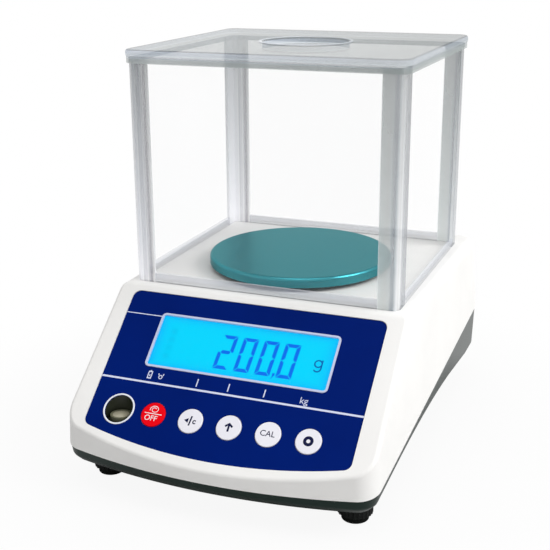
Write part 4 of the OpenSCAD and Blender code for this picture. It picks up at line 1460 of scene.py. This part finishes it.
@dataclass
class ControlPanel:
    """The blue overlay with its print, and the display in its frame."""

    drawing: Drawing
    frame: tuple[float, float] = (116.0, 37.0)
    frame_y: float = -36.9
    frame_line: float = 1.4
    frame_corner: float = 3.0
    frame_top: float = -0.15
    frame_low: float = -1.2
    window: tuple[float, float] = (113.0, 34.0)
    window_corner: float = 1.5
    window_low: float = -1.12
    window_top: float = -0.3
    crystal_top: float = -1.2
    print_height: float = 0.05
    segment_height: float = 0.04
    marks: tuple[float, ...] = (-20.5, -0.5, 22.0)
    digit: tuple[float, float] = (9.6, 22.6)
    stroke: float = 2.3
    gap: float = 0.28
    pitch: float = 13.3
    first_digit: float = -15.0
    digit_low: float = -50.0
    slant: float = 0.03
    unit_place: Point = (48.2, -37.6)
    segments: dict[str, str] = field(default_factory=lambda: {"2": "abged", "0": "abcdef"})

    def bar(self, name: str, box: tuple[float, float, float, float], low: float) -> Piece:
        """Prints a straight bar.

        Args:
            name: the piece's name.
            box: its left, low, right and high edges on the slope.
            low: the height that it is printed at.

        Returns:
            The bar.
        """
        x0, y0, x1, y1 = box
        return slab(name, rectangle(x0, y0, x1, y1), low, low + self.print_height)

    def bezel(self) -> Piece:
        """Frames the window with a moulding whose edges are rounded."""
        outer = rounded_box(self.frame[0], self.frame[1], self.frame_corner, 8)
        piece = slab("display_bezel", outer, self.frame_low, self.frame_top)
        line = 2 * self.frame_line
        corner = self.frame_corner - self.frame_line
        inner = rounded_box(self.frame[0] - line, self.frame[1] - line, corner, 8)
        carve(piece, slab("opening", inner, self.frame_low - 1.0, 2.0))
        round_edges(piece, 0.2, 2, lambda p, w: p.z > self.frame_top - NEAR and abs(w.z) < NEAR)
        move(piece, Matrix.Translation((0.0, self.frame_y, 0.0)))
        place = self.drawing.panel()
        return settle(piece, "housing", PALE_FRAME, place, stands_for=["display_frame"])

    def pane(self) -> Piece:
        """Closes the display with a clear window with a fine edge."""
        outer = rounded_box(self.window[0], self.window[1], self.window_corner, 6)
        piece = slab("window_pane", outer, self.window_low, self.window_top)
        round_edges(piece, 0.12, 2, lambda p, w: p.z > self.window_top - NEAR and abs(w.z) < NEAR)
        move(piece, Matrix.Translation((0.0, self.frame_y, 0.0)))
        place = self.drawing.panel()
        node = "display_window"
        return settle(piece, "housing", WINDOW_ACRYLIC, place, stands_for=[node])

    def segment(self, which: str) -> list[Point]:
        """Outline of one segment of a digit.

        Args:
            which: its letter, from a to g.

        Returns:
            The outline within the digit's own box.
        """
        w, h = self.digit
        t, g, m = self.stroke, self.gap, self.digit[1] / 2
        shapes = {
            "a": [(g, h), (w - g, h), (w - t - g, h - t), (t + g, h - t)],
            "d": [(g, 0), (t + g, t), (w - t - g, t), (w - g, 0)],
            "b": [(w, h - g), (w, m + g), (w - t / 2, m + g), (w - t, m + t / 2 + g), (w - t, h - t - g)],
            "c": [(w, g), (w - t, t + g), (w - t, m - t / 2 - g), (w - t / 2, m - g), (w, m - g)],
            "f": [(0, h - g), (t, h - t - g), (t, m + t / 2 + g), (t / 2, m + g), (0, m + g)],
            "e": [(0, g), (0, m - g), (t / 2, m - g), (t, m - t / 2 - g), (t, t + g)],
            "g": [
                (t / 2 + 2 * g, m),
                (t + g, m + t / 2),
                (w - t - g, m + t / 2),
                (w - t / 2 - 2 * g, m),
                (w - t - g, m - t / 2),
                (t + g, m - t / 2),
            ],
        }
        return shapes[which]

    def reading(self, digits: str) -> list[Piece]:
        """Sets the digits of the reading.

        Args:
            digits: the digits from left to right.

        Returns:
            Their driven segments.
        """
        low = self.crystal_top + 0.01
        pieces = []
        for i, digit in enumerate(digits):
            left = self.first_digit + i * self.pitch
            for letter in self.segments[digit]:
                points = [(left + x + y * self.slant, self.digit_low + y) for x, y in self.segment(letter)]
                pieces.append(slab("segment", points, low, low + self.segment_height))
        x = self.first_digit + 3 * self.pitch - 2.6
        y = self.digit_low
        comma = [(x, y - 1.6), (x + 1.9, y + 1.2), (x + 1.9, y + 2.6)]
        comma += [(x + 0.2, y + 2.4), (x + 0.5, y + 0.4)]
        pieces.append(slab("separator", comma, low, low + self.segment_height))
        return pieces

    def unit(self, low: float) -> Piece:
        """Draws the gram sign beside the reading: a bowl, a stem and a tail.

        Args:
            low: the height that it is set at.

        Returns:
            The sign.
        """
        high, line = low + self.segment_height, 0.85
        x, y = self.unit_place
        bowl = turned("bowl", rectangle(1.75, low, 1.75 + line, high), 40)
        move(bowl, Matrix.Translation((x, y, 0.0)))
        stem = rectangle(x + 2.6 - line, y - 3.0, x + 2.6, y + 2.6)
        tail = arc((x, y - 2.9), 2.6 - line / 2, 0, -150, 14)
        strokes = [bowl, slab("stem", stem, low, high), slab("tail", ribbon(tail, line), low, high)]
        sign = joined(strokes)
        sign.name = "reading_unit"
        return sign

    def display(self) -> None:
        """Lights the crystal and sets the reading, its unit and the idle bars beside it."""
        d = self.drawing
        middle = d.panel() @ Vector((0.0, self.frame_y, self.crystal_top))
        half = (self.window[0] / 2, self.window[1] / 2)
        glow = LitCrystal(
            "backlit_crystal",
            "#00dcff",
            0.25,
            specular=0.05,
            edge="#10bafc",
            middle=tuple(middle),
            half=half,
            tilt=math.radians(d.slope),
        )
        dress("lcd_panel", glow)
        low = self.crystal_top + 0.01
        digits = joined(self.reading("2000"))
        digits.name = "reading_digits"
        settle(digits, "housing", SEGMENT, d.panel())
        settle(self.unit(low), "housing", UNIT_SEGMENT, d.panel())
        bars = []
        for i in range(4):
            y = -28.0 - i * 5.6
            bars.append(self.bar("idle_bar", (-48.6, y - 3.6, -44.6, y), self.crystal_top + 0.005))
        idle = joined(bars)
        idle.name = "idle_bars"
        settle(idle, "housing", GHOST_SEGMENT, d.panel())

    def artwork(self) -> None:
        """Prints the lines, marks and small signs on the overlay."""
        d = self.drawing
        low, up = d.overlay_top - 0.01, -d.panel_top
        pieces = [
            self.bar("parting", (-82.4, up - 61.25, 82.4, up - 60.05), low),
            self.bar("hairline", (-82.4, up - 16.3, -58.0, up - 15.7), low),
        ]
        for x in self.marks:
            pieces.append(self.bar("mark", (x - 0.35, up - 58.6, x + 0.35, up - 53.6), low))
        cell = [(-53.3, -58.2, -50.5, -57.4), (-53.3, -57.4, -52.7, -53.9), (-51.1, -57.4, -50.5, -53.9)]
        cell += [(-53.3, -53.9, -50.5, -53.2), (-52.4, -53.2, -51.4, -52.7), (-52.2, -56.6, -51.6, -55.4)]
        for x0, y0, x1, y1 in cell:
            pieces.append(self.bar("cell", (x0, up + y0, x1, up + y1), low))
        high = low + self.print_height
        ring = turned("clock", rectangle(0.8, low, 1.35, high), 32)
        move(ring, Matrix.Translation((-44.7, up - 56.2, 0.0)))
        pieces.append(ring)
        for s in (-1, 1):
            x = -44.7 + s * 1.35
            horn = [(x - 0.3, up - 55.2), (x + 0.3, up - 55.2), (x + 0.3 + s * 0.3, up - 53.9)]
            horn.append((x - 0.3 + s * 0.3, up - 53.9))
            pieces.append(slab("horn", horn, low, high))
        pieces.append(lettered("mass_unit", "kg", 5.6, (46.2, up - 56.9), low, high))
        print_piece = joined(pieces)
        print_piece.name = "panel_print"
        settle(print_piece, "housing", PALE_INK, d.panel())

    def make(self) -> None:
        """Dresses the overlay and builds what is on it."""
        dress("panel_overlay", BLUE_FILM)
        self.bezel()
        self.pane()
        self.display()
        self.artwork()


@dataclass
class KeyRow:
    """Five round key caps with their printed signs."""

    drawing: Drawing
    radius: float = 7.6
    top: float = -0.1
    edge: float = 0.5
    flange: float = 9.2
    flange_top: float = -3.2
    flange_low: float = -4.4

    def power_sign(self, low: float, high: float) -> list[Piece]:
        """Swirl over a bar, with OFF under it."""
        path = []
        for i in range(41):
            angle = math.radians(200 - i * 13.2)
            radius = 3.0 - 1.9 * i / 40
            path.append((0.1 + radius * math.cos(angle), 3.1 + 0.82 * radius * math.sin(angle)))
        return [
            slab("swirl", ribbon(path, 0.42), low, high),
            slab("rule", rectangle(-5.5, 0.2, 5.5, 0.7), low, high),
            lettered("off", "OFF", 4.7, (-0.7, -2.5), low, high, 0.02),
        ]

    def tare_sign(self, low: float, high: float) -> list[Piece]:
        """Arrowhead, bar and a small c."""
        head = [(-3.9, 0.0), (-1.3, -1.5), (-1.3, 1.5)]
        bar = [(-0.7, -3.0), (0.25, -3.0), (0.75, 3.0), (-0.2, 3.0)]
        return [
            slab("head", head, low, high),
            slab("stroke", bar, low, high),
            lettered("clear", "c", 5.0, (2.5, 0.0), low, high, 0.12),
        ]

    def up_sign(self, low: float, high: float) -> list[Piece]:
        """Upward arrow with blunt barbs."""
        shaft = rectangle(-0.6, -2.6, 0.6, 1.6)
        barbs = ribbon([(-2.2, 0.4), (0.0, 2.3), (2.2, 0.4)], 1.25)
        return [slab("shaft", shaft, low, high), slab("barbs", barbs, low + 0.004, high + 0.004)]

    def cal_sign(self, low: float, high: float) -> list[Piece]:
        """The letters of the adjusting key."""
        return [lettered("adjust", "CAL", 4.9, (-0.3, 0.2), low, high, 0.03)]

    def unit_sign(self, low: float, high: float) -> list[Piece]:
        """Bold ring."""
        return [turned("ring", rectangle(1.15, low, 3.0, high), 48)]

    def make(self) -> None:
        """Turns each cap, prints its sign and lets both ride on the key."""
        signs = {
            Key.POWER: self.power_sign,
            Key.TARE: self.tare_sign,
            Key.UP: self.up_sign,
            Key.CAL: self.cal_sign,
            Key.UNIT: self.unit_sign,
        }
        section = [(0.0, self.flange_low), (self.flange, self.flange_low), (self.flange, self.flange_top)]
        section += [(self.radius, self.flange_top)]
        section += arc((self.radius - self.edge, self.top - self.edge), self.edge, 0, 90, 5)
        section += [(0.0, self.top)]
        for key, x in self.drawing.keys.items():
            place = self.drawing.panel() @ Matrix.Translation((x, self.drawing.key_row, 0.0))
            red = key is Key.POWER
            cap = turned(f"{key.value}_cap", section, 72)
            settle(cap, key.value, RED_CAP if red else WHITE_CAP, place, stands_for=[key.value])
            sign = joined(signs[key](self.top - 0.01, self.top + 0.03))
            sign.name = f"{key.value}_sign"
            settle(sign, key.value, WHITE_INK if red else DARK_INK, place)


@dataclass
class SpiritLevel:
    """Round level at the bottom of a dark well, inside a pale ring."""

    drawing: Drawing
    ring_outer: float = 9.9
    ring_inner: float = 8.9
    ring_top: float = -0.1
    face: float = 45.75
    face_back: float = 2.2
    face_radius: float = 4.9
    face_dome: float = 0.9
    circle: float = 2.7
    circle_line: float = 0.3

    def make(self) -> None:
        """Builds the ring and the face with its circle, and dresses the well."""
        d = self.drawing
        low, top = d.overlay_top, self.ring_top
        section = [(self.ring_inner, low), (self.ring_outer, low), (self.ring_outer, top - 0.2)]
        section += arc((self.ring_outer - 0.25, top - 0.25), 0.25, 0, 90, 3)
        section += arc((self.ring_inner + 0.25, top - 0.25), 0.25, 90, 180, 3)
        ring = turned("level_bezel", section, 96)
        place = d.panel() @ Matrix.Translation((d.level_x, d.key_row, 0.0))
        settle(ring, "housing", WHITE_TRIM, place, stands_for=["level_ring"])
        middle = d.panel() @ Vector((d.level_x, d.key_row, 0.0))
        place = Matrix.Translation((middle.x, middle.y + self.face_back, self.face))
        r = self.face_radius
        dome = [(0.0, -1.5), (r, -1.5), (r, -0.1)]
        for i in range(1, 9):
            dome.append((r * (1 - i / 8), -0.1 + self.face_dome * math.sin(math.pi * i / 16)))
        face = turned("level_face", dome, 64)
        settle(face, "housing", LEVEL_FLUID, place, stands_for=["level_cap"])
        half = self.circle_line / 2
        mark = rectangle(self.circle - half, -0.05, self.circle + half, 0.02)
        settle(turned("level_circle", mark, 48), "housing", GREY_PLASTIC, place)
        dress("level_sleeve", SLEEVE_PLASTIC)
        dress("level_vial", VIAL_PLASTIC)
        dress("level_fluid", LEVEL_FLUID)


@dataclass
class WeighingPan:
    """Round steel pan with a turned-down rim, on its disc and cushions."""

    drawing: Drawing
    radius: float = 60.0
    top: float = 115.3
    low: float = 108.8
    sheet: float = 1.5
    edge: float = 2.0

    def make(self) -> None:
        """Turns the pan with its rounded edge and dresses what carries it."""
        r, t = self.radius, self.sheet
        inner = self.edge - 1.0
        section = [(0.0, self.top - t), (r - t - inner, self.top - t)]
        section += arc((r - t - inner, self.top - t - inner), inner, 90, 0, 4)[1:]
        section += [(r - t, self.low + 0.2), (r - t + 0.2, self.low)]
        section += [(r - 0.3, self.low), (r, self.low + 0.3)]
        section += arc((r - self.edge, self.top - self.edge), self.edge, 0, 90, 8) + [(0.0, self.top)]
        pan = turned("steel_pan", section, 160)
        place = Matrix.Translation((0.0, self.drawing.pan_y, 0.0))
        settle(pan, "pan", PAN_STEEL, place, stands_for=["weighing_pan"])
        dress("pan_cushions", BLACK_RUBBER)
        dress("pan_support", CAST_ALUMINIUM)
        dress("pan_post", MILLED_ALUMINIUM)


@dataclass
class DraftShield:
    """Clear box of four posts, rails and panes, with a lid that has a port."""

    drawing: Drawing
    width: float = 172.5
    depth: float = 157.0
    lid_low: float = 246.0
    lid_top: float = 251.0
    leg: float = 13.5
    wall: float = 2.2
    corner: float = 5.0
    pane: float = 2.0
    seat: float = 0.1
    low_rail: float = 6.0
    high_rail: float = 3.0
    over: float = 2.3
    lid_corner: float = 8.0
    skirt: float = 3.3
    skirt_step: float = 0.4
    skirt_gap: float = 0.3
    port: float = 28.0
    rim: float = 2.2
    rim_height: float = 0.6
    rim_edge: float = 0.4
    bullnose: float = 1.8
    moulded_edge: float = 0.3
    sawn_edge: float = 0.25

    def place(self) -> Matrix:
        """Frame at the middle of the shield."""
        return Matrix.Translation((0.0, self.drawing.shield_y, 0.0))

    def posts(self) -> None:
        """Extrudes one corner post, softens its edges and turns it to the four corners."""
        a, t, r = self.leg, self.wall, self.corner
        x, y = -self.width / 2, -self.depth / 2
        profile = [(a, 0.0), (a, t), (t, t), (t, a), (0.0, a)]
        profile += arc((r, r), r, 180, 270, 8)
        post = slab("post", profile, self.drawing.deck, self.lid_low)
        edge = self.moulded_edge
        round_edges(post, edge, 2, lambda p, w: abs(w.z) < NEAR or p.x > a - 0.1 or p.y > a - 0.1)
        corners = [(x, y, 0), (-x, y, 90), (-x, -y, 180), (x, -y, 270)]
        posts = []
        for cx, cy, angle in corners:
            turn = Matrix.Rotation(math.radians(angle), 4, "Z")
            posts.append(copied(post, "corner_posts", Matrix.Translation((cx, cy, 0.0)) @ turn))
        bpy.data.objects.remove(post)
        piece = joined(posts)
        piece.name = "corner_posts"
        settle(piece, "shield", POST_ACRYLIC, self.place(), stands_for=["shield_posts"])

    def strip(self, size: Point, place: Point, low: float, high: float, edge: float) -> Piece:
        """Cuts a strip or a pane, with polished edges.

        Args:
            size: its size along X and Y.
            place: its middle.
            low: the height of its lower edge.
            high: the height of its upper edge.
            edge: the width of the bevel on its edges.

        Returns:
            The strip.
        """
        x, y = size[0] / 2, size[1] / 2
        piece = slab("strip", rectangle(-x, -y, x, y), low, high)
        round_edges(piece, edge, 2, lambda p, w: True)
        move(piece, Matrix.Translation((place[0], place[1], 0.0)))
        return piece

    def rails(self, name: str, node: str, finish: Finish, low: float, high: float) -> None:
        """Sets four rails between the posts.

        Args:
            name: the piece's name.
            node: the frame's node that it replaces.
            finish: the rails' finish.
            low: the height of the rails' lower edge.
            high: the height of their upper edge.
        """
        w, d, edge = self.width, self.depth, self.moulded_edge
        strips = []
        for s in (-1, 1):
            across = (w - 2 * self.leg, self.wall)
            strips.append(self.strip(across, (0.0, s * (d - self.wall) / 2), low, high, edge))
            along = (self.wall, d - 2 * self.leg)
            strips.append(self.strip(along, (s * (w - self.wall) / 2, 0.0), low, high, edge))
        piece = joined(strips)
        piece.name = name
        settle(piece, "shield", finish, self.place(), stands_for=[node])

    def panes(self) -> None:
        """Cuts the four panes."""
        inset = self.wall + self.seat
        w, d = self.width - 2 * inset, self.depth - 2 * inset
        low, high = self.drawing.deck + self.seat, self.lid_low - self.seat
        t = self.pane
        across = (w - 2 * t - 2 * self.seat, t)
        cuts = [
            ("front", across, (0.0, -(d - t) / 2)),
            ("rear", across, (0.0, (d - t) / 2)),
            ("left", (t, d), (-(w - t) / 2, 0.0)),
            ("right", (t, d), ((w - t) / 2, 0.0)),
        ]
        for side, size, middle in cuts:
            piece = self.strip(size, middle, low, high, self.sawn_edge)
            piece.name = f"{side}_sheet"
            settle(piece, "shield", PANE_ACRYLIC, self.place(), stands_for=[f"{side}_pane"])

    def lid(self) -> None:
        """Builds the lid with its bullnose edge, the rim that turns down round the posts, and the port."""
        w, d = self.width + 2 * self.over, self.depth + 2 * self.over
        piece = slab("chamber_lid", rounded_box(w, d, self.lid_corner, 10), self.lid_low, self.lid_top)
        round_edges(piece, self.bullnose, 5, lambda p, w: abs(w.z) < NEAR)
        t = 2 * self.skirt_step
        outer = rounded_box(w - t, d - t, self.lid_corner - self.skirt_step, 10)
        skirt = slab("skirt", outer, self.lid_low - self.skirt, self.lid_low + 1.6)
        round_edges(skirt, self.rim_edge, 2, lambda p, w: abs(w.z) < NEAR and p.z < self.lid_low)
        g = 2 * self.skirt_gap
        inner = rounded_box(self.width + g, self.depth + g, self.corner + self.skirt_gap, 8)
        carve(skirt, slab("inside", inner, self.lid_low - 8.0, self.lid_low))
        carve(piece, skirt, Cut.ADD)
        outer, top, edge = self.port + self.rim, self.lid_top + self.rim_height, self.rim_edge
        section = [(self.port - 4.0, self.lid_low + 0.5), (outer, self.lid_low + 0.5), (outer, top - edge)]
        section += arc((outer - edge, top - edge), edge, 0, 90, 4)[1:] + [(self.port - 4.0, top)]
        carve(piece, turned("rim", section, 96), Cut.ADD)
        hole = [(0.0, self.lid_low - 3.0), (self.port, self.lid_low - 3.0), (self.port, top - 0.6)]
        hole += [(self.port + 0.15, top - 0.25), (self.port + 0.5, top + 0.1), (0.0, top + 0.1)]
        carve(piece, turned("port", hole, 96))
        settle(piece, "lid", LID_ACRYLIC, self.place(), stands_for=["shield_lid"])

    def make(self) -> None:
        """Builds the posts, rails, panes and lid."""
        deck = self.drawing.deck
        self.posts()
        self.rails("lower_rails", "shield_bottom_rails", RAIL_ACRYLIC, deck, deck + self.low_rail)
        high = self.lid_low
        self.rails("upper_rails", "shield_top_rails", TOP_RAIL_ACRYLIC, high - self.high_rail, high)
        self.panes()
        self.lid()


@dataclass
class LevellingFeet:
    """Four feet: a rubber pad, and a fluted wheel on its threaded stud."""

    drawing: Drawing
    pad: float = 8.0
    pad_height: float = 4.0
    spigot: float = 4.0
    spigot_depth: float = 2.5
    wheel: float = 10.25
    wheel_height: float = 7.0
    flutes: int = 24
    flute: float = 1.0
    stud: float = 3.0
    stud_rise: float = 15.0
    pitch: float = 1.0
    thread: float = 0.35
    seat: float = 0.1

    def rubber_pad(self) -> Piece:
        """Turns a pad with rounded edges and a seat for the spigot."""
        r, h, s = self.pad, self.pad_height, self.spigot + 0.06
        section = [(0.0, 0.0)] + arc((r - 0.8, 0.8), 0.8, 270, 360, 4)
        section += arc((r - 0.6, h - 0.6), 0.6, 0, 90, 4)
        section += [(s, h), (s, h - self.spigot_depth), (0.0, h - self.spigot_depth)]
        return turned("rubber_pad", section, 64)

    def wheel_outline(self) -> list[Point]:
        """Outline of the wheel with its grip flutes.

        Returns:
            The outline's points.
        """
        points = []
        steps = 10
        for i in range(self.flutes * steps):
            phase = (i % steps) / steps
            dip = 0.0
            if 0.2 < phase < 0.8:
                dip = self.flute * 0.55 * max(0.0, math.sin(math.pi * (phase - 0.2) / 0.6))
            angle = TURN * i / (self.flutes * steps)
            points.append(((self.wheel - dip) * math.cos(angle), (self.wheel - dip) * math.sin(angle)))
        return points

    def wheel_piece(self, stud_top: float) -> Piece:
        """Extrudes the fluted wheel, softens its edges and adds the spigot and the threaded stud.

        Args:
            stud_top: the height of the stud's end.

        Returns:
            The wheel with its stud.
        """
        low = self.pad_height + self.seat
        high = low + self.wheel_height
        wheel = slab("wheel", self.wheel_outline(), low, high)
        round_edges(wheel, 0.45, 2, lambda p, w: abs(w.z) < NEAR)
        spigot_low = self.pad_height - self.spigot_depth + self.seat
        section = [(0.0, spigot_low), (self.spigot, spigot_low), (self.spigot, low + 0.5), (0.0, low + 0.5)]
        spigot = turned("spigot", section, 48)
        root = self.stud - self.thread
        thread = [(0.0, high - 0.5), (root, high - 0.5)]
        z = high - 0.3
        while z + self.pitch < stud_top - 0.6:
            thread += [(root, z), (self.stud, z + 0.42 * self.pitch), (self.stud, z + 0.55 * self.pitch)]
            z += self.pitch
        thread += [(root, z), (self.stud - 0.6, stud_top), (0.0, stud_top)]
        return joined([wheel, spigot, turned("stud", thread, 40)])

    def make(self) -> None:
        """Builds one pad and one wheel, and copies them to the four corners."""
        pad = self.rubber_pad()
        wheels = {}
        for corner, (x, y) in self.drawing.feet.items():
            top = self.drawing.base(y) + self.stud_rise
            if y not in wheels:
                wheels[y] = self.wheel_piece(top)
            place = Matrix.Translation((x, y, 0.0))
            mark = corner.value
            rubber = copied(pad, f"rubber_pad_{mark}", Matrix.Identity(4))
            node = f"foot_pad_{mark}"
            settle(rubber, node, BLACK_RUBBER, place, stands_for=[node])
            wheel = copied(wheels[y], f"grip_wheel_{mark}", Matrix.Identity(4))
            node = f"foot_screw_{mark}"
            settle(wheel, node, BLACK_NYLON, place, 30.0, [node])
        for piece in [pad, *wheels.values()]:
            bpy.data.objects.remove(piece)


def dress(node: str, finish: Finish) -> None:
    """Gives one of the frame's own nodes a finish.

    Args:
        node: the node's name.
        finish: its finish.
    """
    mesh = FRAME["nodes"][node].data
    mesh.materials.clear()
    mesh.materials.append(finish.material())
    LOG.info("%s: dressed in %s", node, finish.name)


@dataclass
class Inside:
    """What the housings hold, and the fixings seen from below."""

    finishes: dict[str, Finish] = field(
        default_factory=lambda: {
            "lcd_backlight": LIGHT_GUIDE,
            "display_board": BOARD,
            "key_switches": BLACK_NYLON,
            "display_board_screws": ZINC_STEEL,
            "load_bridge": CAST_ALUMINIUM,
            "load_cell": MILLED_ALUMINIUM,
            "load_cell_block": MILLED_ALUMINIUM,
            "load_cell_screws": ZINC_STEEL,
            "overload_stop": ZINC_STEEL,
            "main_board": BOARD,
            "main_board_parts": BLACK_NYLON,
            "main_board_screws": ZINC_STEEL,
            "battery": GREY_PLASTIC,
            "battery_cover": DARK_ABS,
            "battery_cover_screws": ZINC_STEEL,
            "power_inlet": BLACK_NYLON,
            "case_screws": ZINC_STEEL,
            "foot_inserts": BRASS,
            "load_cell_cable": BLACK_RUBBER,
            "display_cable": GREY_PLASTIC,
        }
    )

    def make(self) -> None:
        """Dresses each of these nodes."""
        for node, finish in self.finishes.items():
            dress(node, finish)


@dataclass
class Studio:
    """Pale floor, soft light and the camera at the viewing angle."""

    azimuth: float = 21.53
    elevation: float = 17.94
    roll: float = -0.33
    distance: float = 0.7181
    target: tuple[float, float, float] = (-0.0216, 0.0290, 0.0931)
    lens: float = 68.42
    ambient: float = 0.54
    floor_size: float = 24.0
    lamps: tuple[tuple[str, tuple[float, float, float], float, float], ...] = (
        ("key", (1.35, 0.05, 1.2), 0.9, 20.0),
        ("top", (0.2, -0.35, 1.8), 1.0, 8.5),
    )

    def camera(self) -> None:
        """Sets the camera by its angles about the target."""
        az, el = math.radians(self.azimuth), math.radians(self.elevation)
        back = Vector((math.sin(az) * math.cos(el), -math.cos(az) * math.cos(el), math.sin(el)))
        right = Vector((0, 0, 1)).cross(back).normalized()
        up = back.cross(right)
        r = math.radians(self.roll)
        right, up = right * math.cos(r) + up * math.sin(r), up * math.cos(r) - right * math.sin(r)
        data = bpy.data.cameras.new("camera")
        data.lens = self.lens
        data.sensor_width = 36.0
        data.clip_start = 0.01
        camera = bpy.data.objects.new("camera", data)
        turn = Matrix((right, up, back)).transposed().to_4x4()
        camera.matrix_world = Matrix.Translation(Vector(self.target) + back * self.distance) @ turn
        bpy.context.scene.collection.objects.link(camera)
        bpy.context.scene.camera = camera

    def seen(self, tree: bpy.types.NodeTree) -> bpy.types.NodeSocket:
        """Marks rays that show the background itself: seen, mirrored or through something clear.

        Args:
            tree: the material's or world's tree.

        Returns:
            A socket that is 1 for those rays.
        """
        path = add_node(tree, "ShaderNodeLightPath")
        first = {0: path.outputs["Is Camera Ray"], 1: path.outputs["Is Glossy Ray"]}
        one = add_node(tree, "ShaderNodeMath", {"operation": "MAXIMUM"}, first)
        second = {0: one.outputs[0], 1: path.outputs["Is Transmission Ray"]}
        return add_node(tree, "ShaderNodeMath", {"operation": "MAXIMUM"}, second).outputs[0]

    def world(self) -> None:
        """Lights the room evenly, and shows it white."""
        world = bpy.data.worlds.new("studio")
        world.use_nodes = True
        tree = world.node_tree
        tree.nodes.clear()
        light = add_node(tree, "ShaderNodeBackground", None, {"Strength": self.ambient})
        light.inputs["Color"].default_value = linear("#ffffff")
        white = add_node(tree, "ShaderNodeBackground", None, {"Strength": 1.0})
        white.inputs["Color"].default_value = linear("#ffffff")
        inputs = {0: self.seen(tree), 1: light.outputs[0], 2: white.outputs[0]}
        mixed = add_node(tree, "ShaderNodeMixShader", None, inputs)
        add_node(tree, "ShaderNodeOutputWorld", None, {"Surface": mixed.outputs[0]})
        bpy.context.scene.world = world

    def floor(self) -> None:
        """Lays a pale floor that keeps the shadow close by and turns white further out."""
        bpy.ops.object.select_all(action="DESELECT")
        bpy.ops.mesh.primitive_plane_add(size=self.floor_size, location=(0, 0, 0))
        floor = bpy.context.object
        floor.name = "floor"
        material = bpy.data.materials.new("pale_floor")
        material.use_nodes = True
        tree = material.node_tree
        shader = tree.nodes["Principled BSDF"]
        shader.inputs["Base Color"].default_value = linear("#cfcfcf")
        shader.inputs["Roughness"].default_value = 0.9
        shader.inputs["Specular IOR Level"].default_value = 0.0
        place = add_node(tree, "ShaderNodeTexCoord").outputs["Object"]
        length = add_node(tree, "ShaderNodeVectorMath", {"operation": "LENGTH"}, {0: place})
        smooth = {"interpolation_type": "SMOOTHSTEP"}
        inputs = {"Value": length.outputs["Value"], "From Min": 0.12, "From Max": 0.3, "To Min": 0.92}
        far = add_node(tree, "ShaderNodeMapRange", smooth, inputs)
        inputs = {"Value": length.outputs["Value"], "From Min": 0.15, "From Max": 0.2}
        outside = add_node(tree, "ShaderNodeMapRange", smooth, inputs)
        path = add_node(tree, "ShaderNodeLightPath")
        inputs = {0: path.outputs["Is Glossy Ray"], 2: far.outputs["Result"], 3: outside.outputs["Result"]}
        near = add_node(tree, "ShaderNodeMix", None, inputs)
        shown = {0: self.seen(tree), 1: near.outputs[0]}
        share = add_node(tree, "ShaderNodeMath", {"operation": "MULTIPLY"}, shown)
        glow = add_node(tree, "ShaderNodeEmission", None, {"Strength": 1.0})
        glow.inputs["Color"].default_value = linear("#ffffff")
        inputs = {0: share.outputs[0], 1: shader.outputs["BSDF"], 2: glow.outputs[0]}
        mixed = add_node(tree, "ShaderNodeMixShader", None, inputs)
        tree.links.new(mixed.outputs["Shader"], tree.nodes["Material Output"].inputs["Surface"])
        floor.data.materials.append(material)

    def lamp(self, name: str, place: tuple[float, float, float], size: float, power: float) -> None:
        """Hangs a soft square lamp that faces the balance.

        Args:
            name: the lamp's name.
            place: where it hangs.
            size: its side.
            power: its power in watts.
        """
        data = bpy.data.lights.new(name, "AREA")
        data.size = size
        data.energy = power
        lamp = bpy.data.objects.new(name, data)
        aim = Vector((0.0, 0.0, 0.1)) - Vector(place)
        turn = aim.to_track_quat("-Z", "Y").to_matrix().to_4x4()
        lamp.matrix_world = Matrix.Translation(place) @ turn
        bpy.context.scene.collection.objects.link(lamp)

    def make(self) -> None:
        """Sets up camera, floor, room and lamps."""
        bpy.context.scene.view_settings.view_transform = "Standard"
        bpy.context.scene.cycles.transparent_max_bounces = 32
        self.camera()
        self.floor()
        self.world()
        for name, place, size, power in self.lamps:
            self.lamp(name, place, size, power)


def main() -> None:
    """Builds the balance piece by piece."""
    drawing = Drawing()
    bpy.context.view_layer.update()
    Studio().make()
    UpperShell(drawing).make()
    LowerTray(drawing).make()
    ControlPanel(drawing).make()
    KeyRow(drawing).make()
    SpiritLevel(drawing).make()
    WeighingPan(drawing).make()
    LevellingFeet(drawing).make()
    DraftShield(drawing).make()
    Inside().make()


if __name__ == "__main__":
    logging.basicConfig(level=logging.INFO, format="%(message)s")
    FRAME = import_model()
    main()
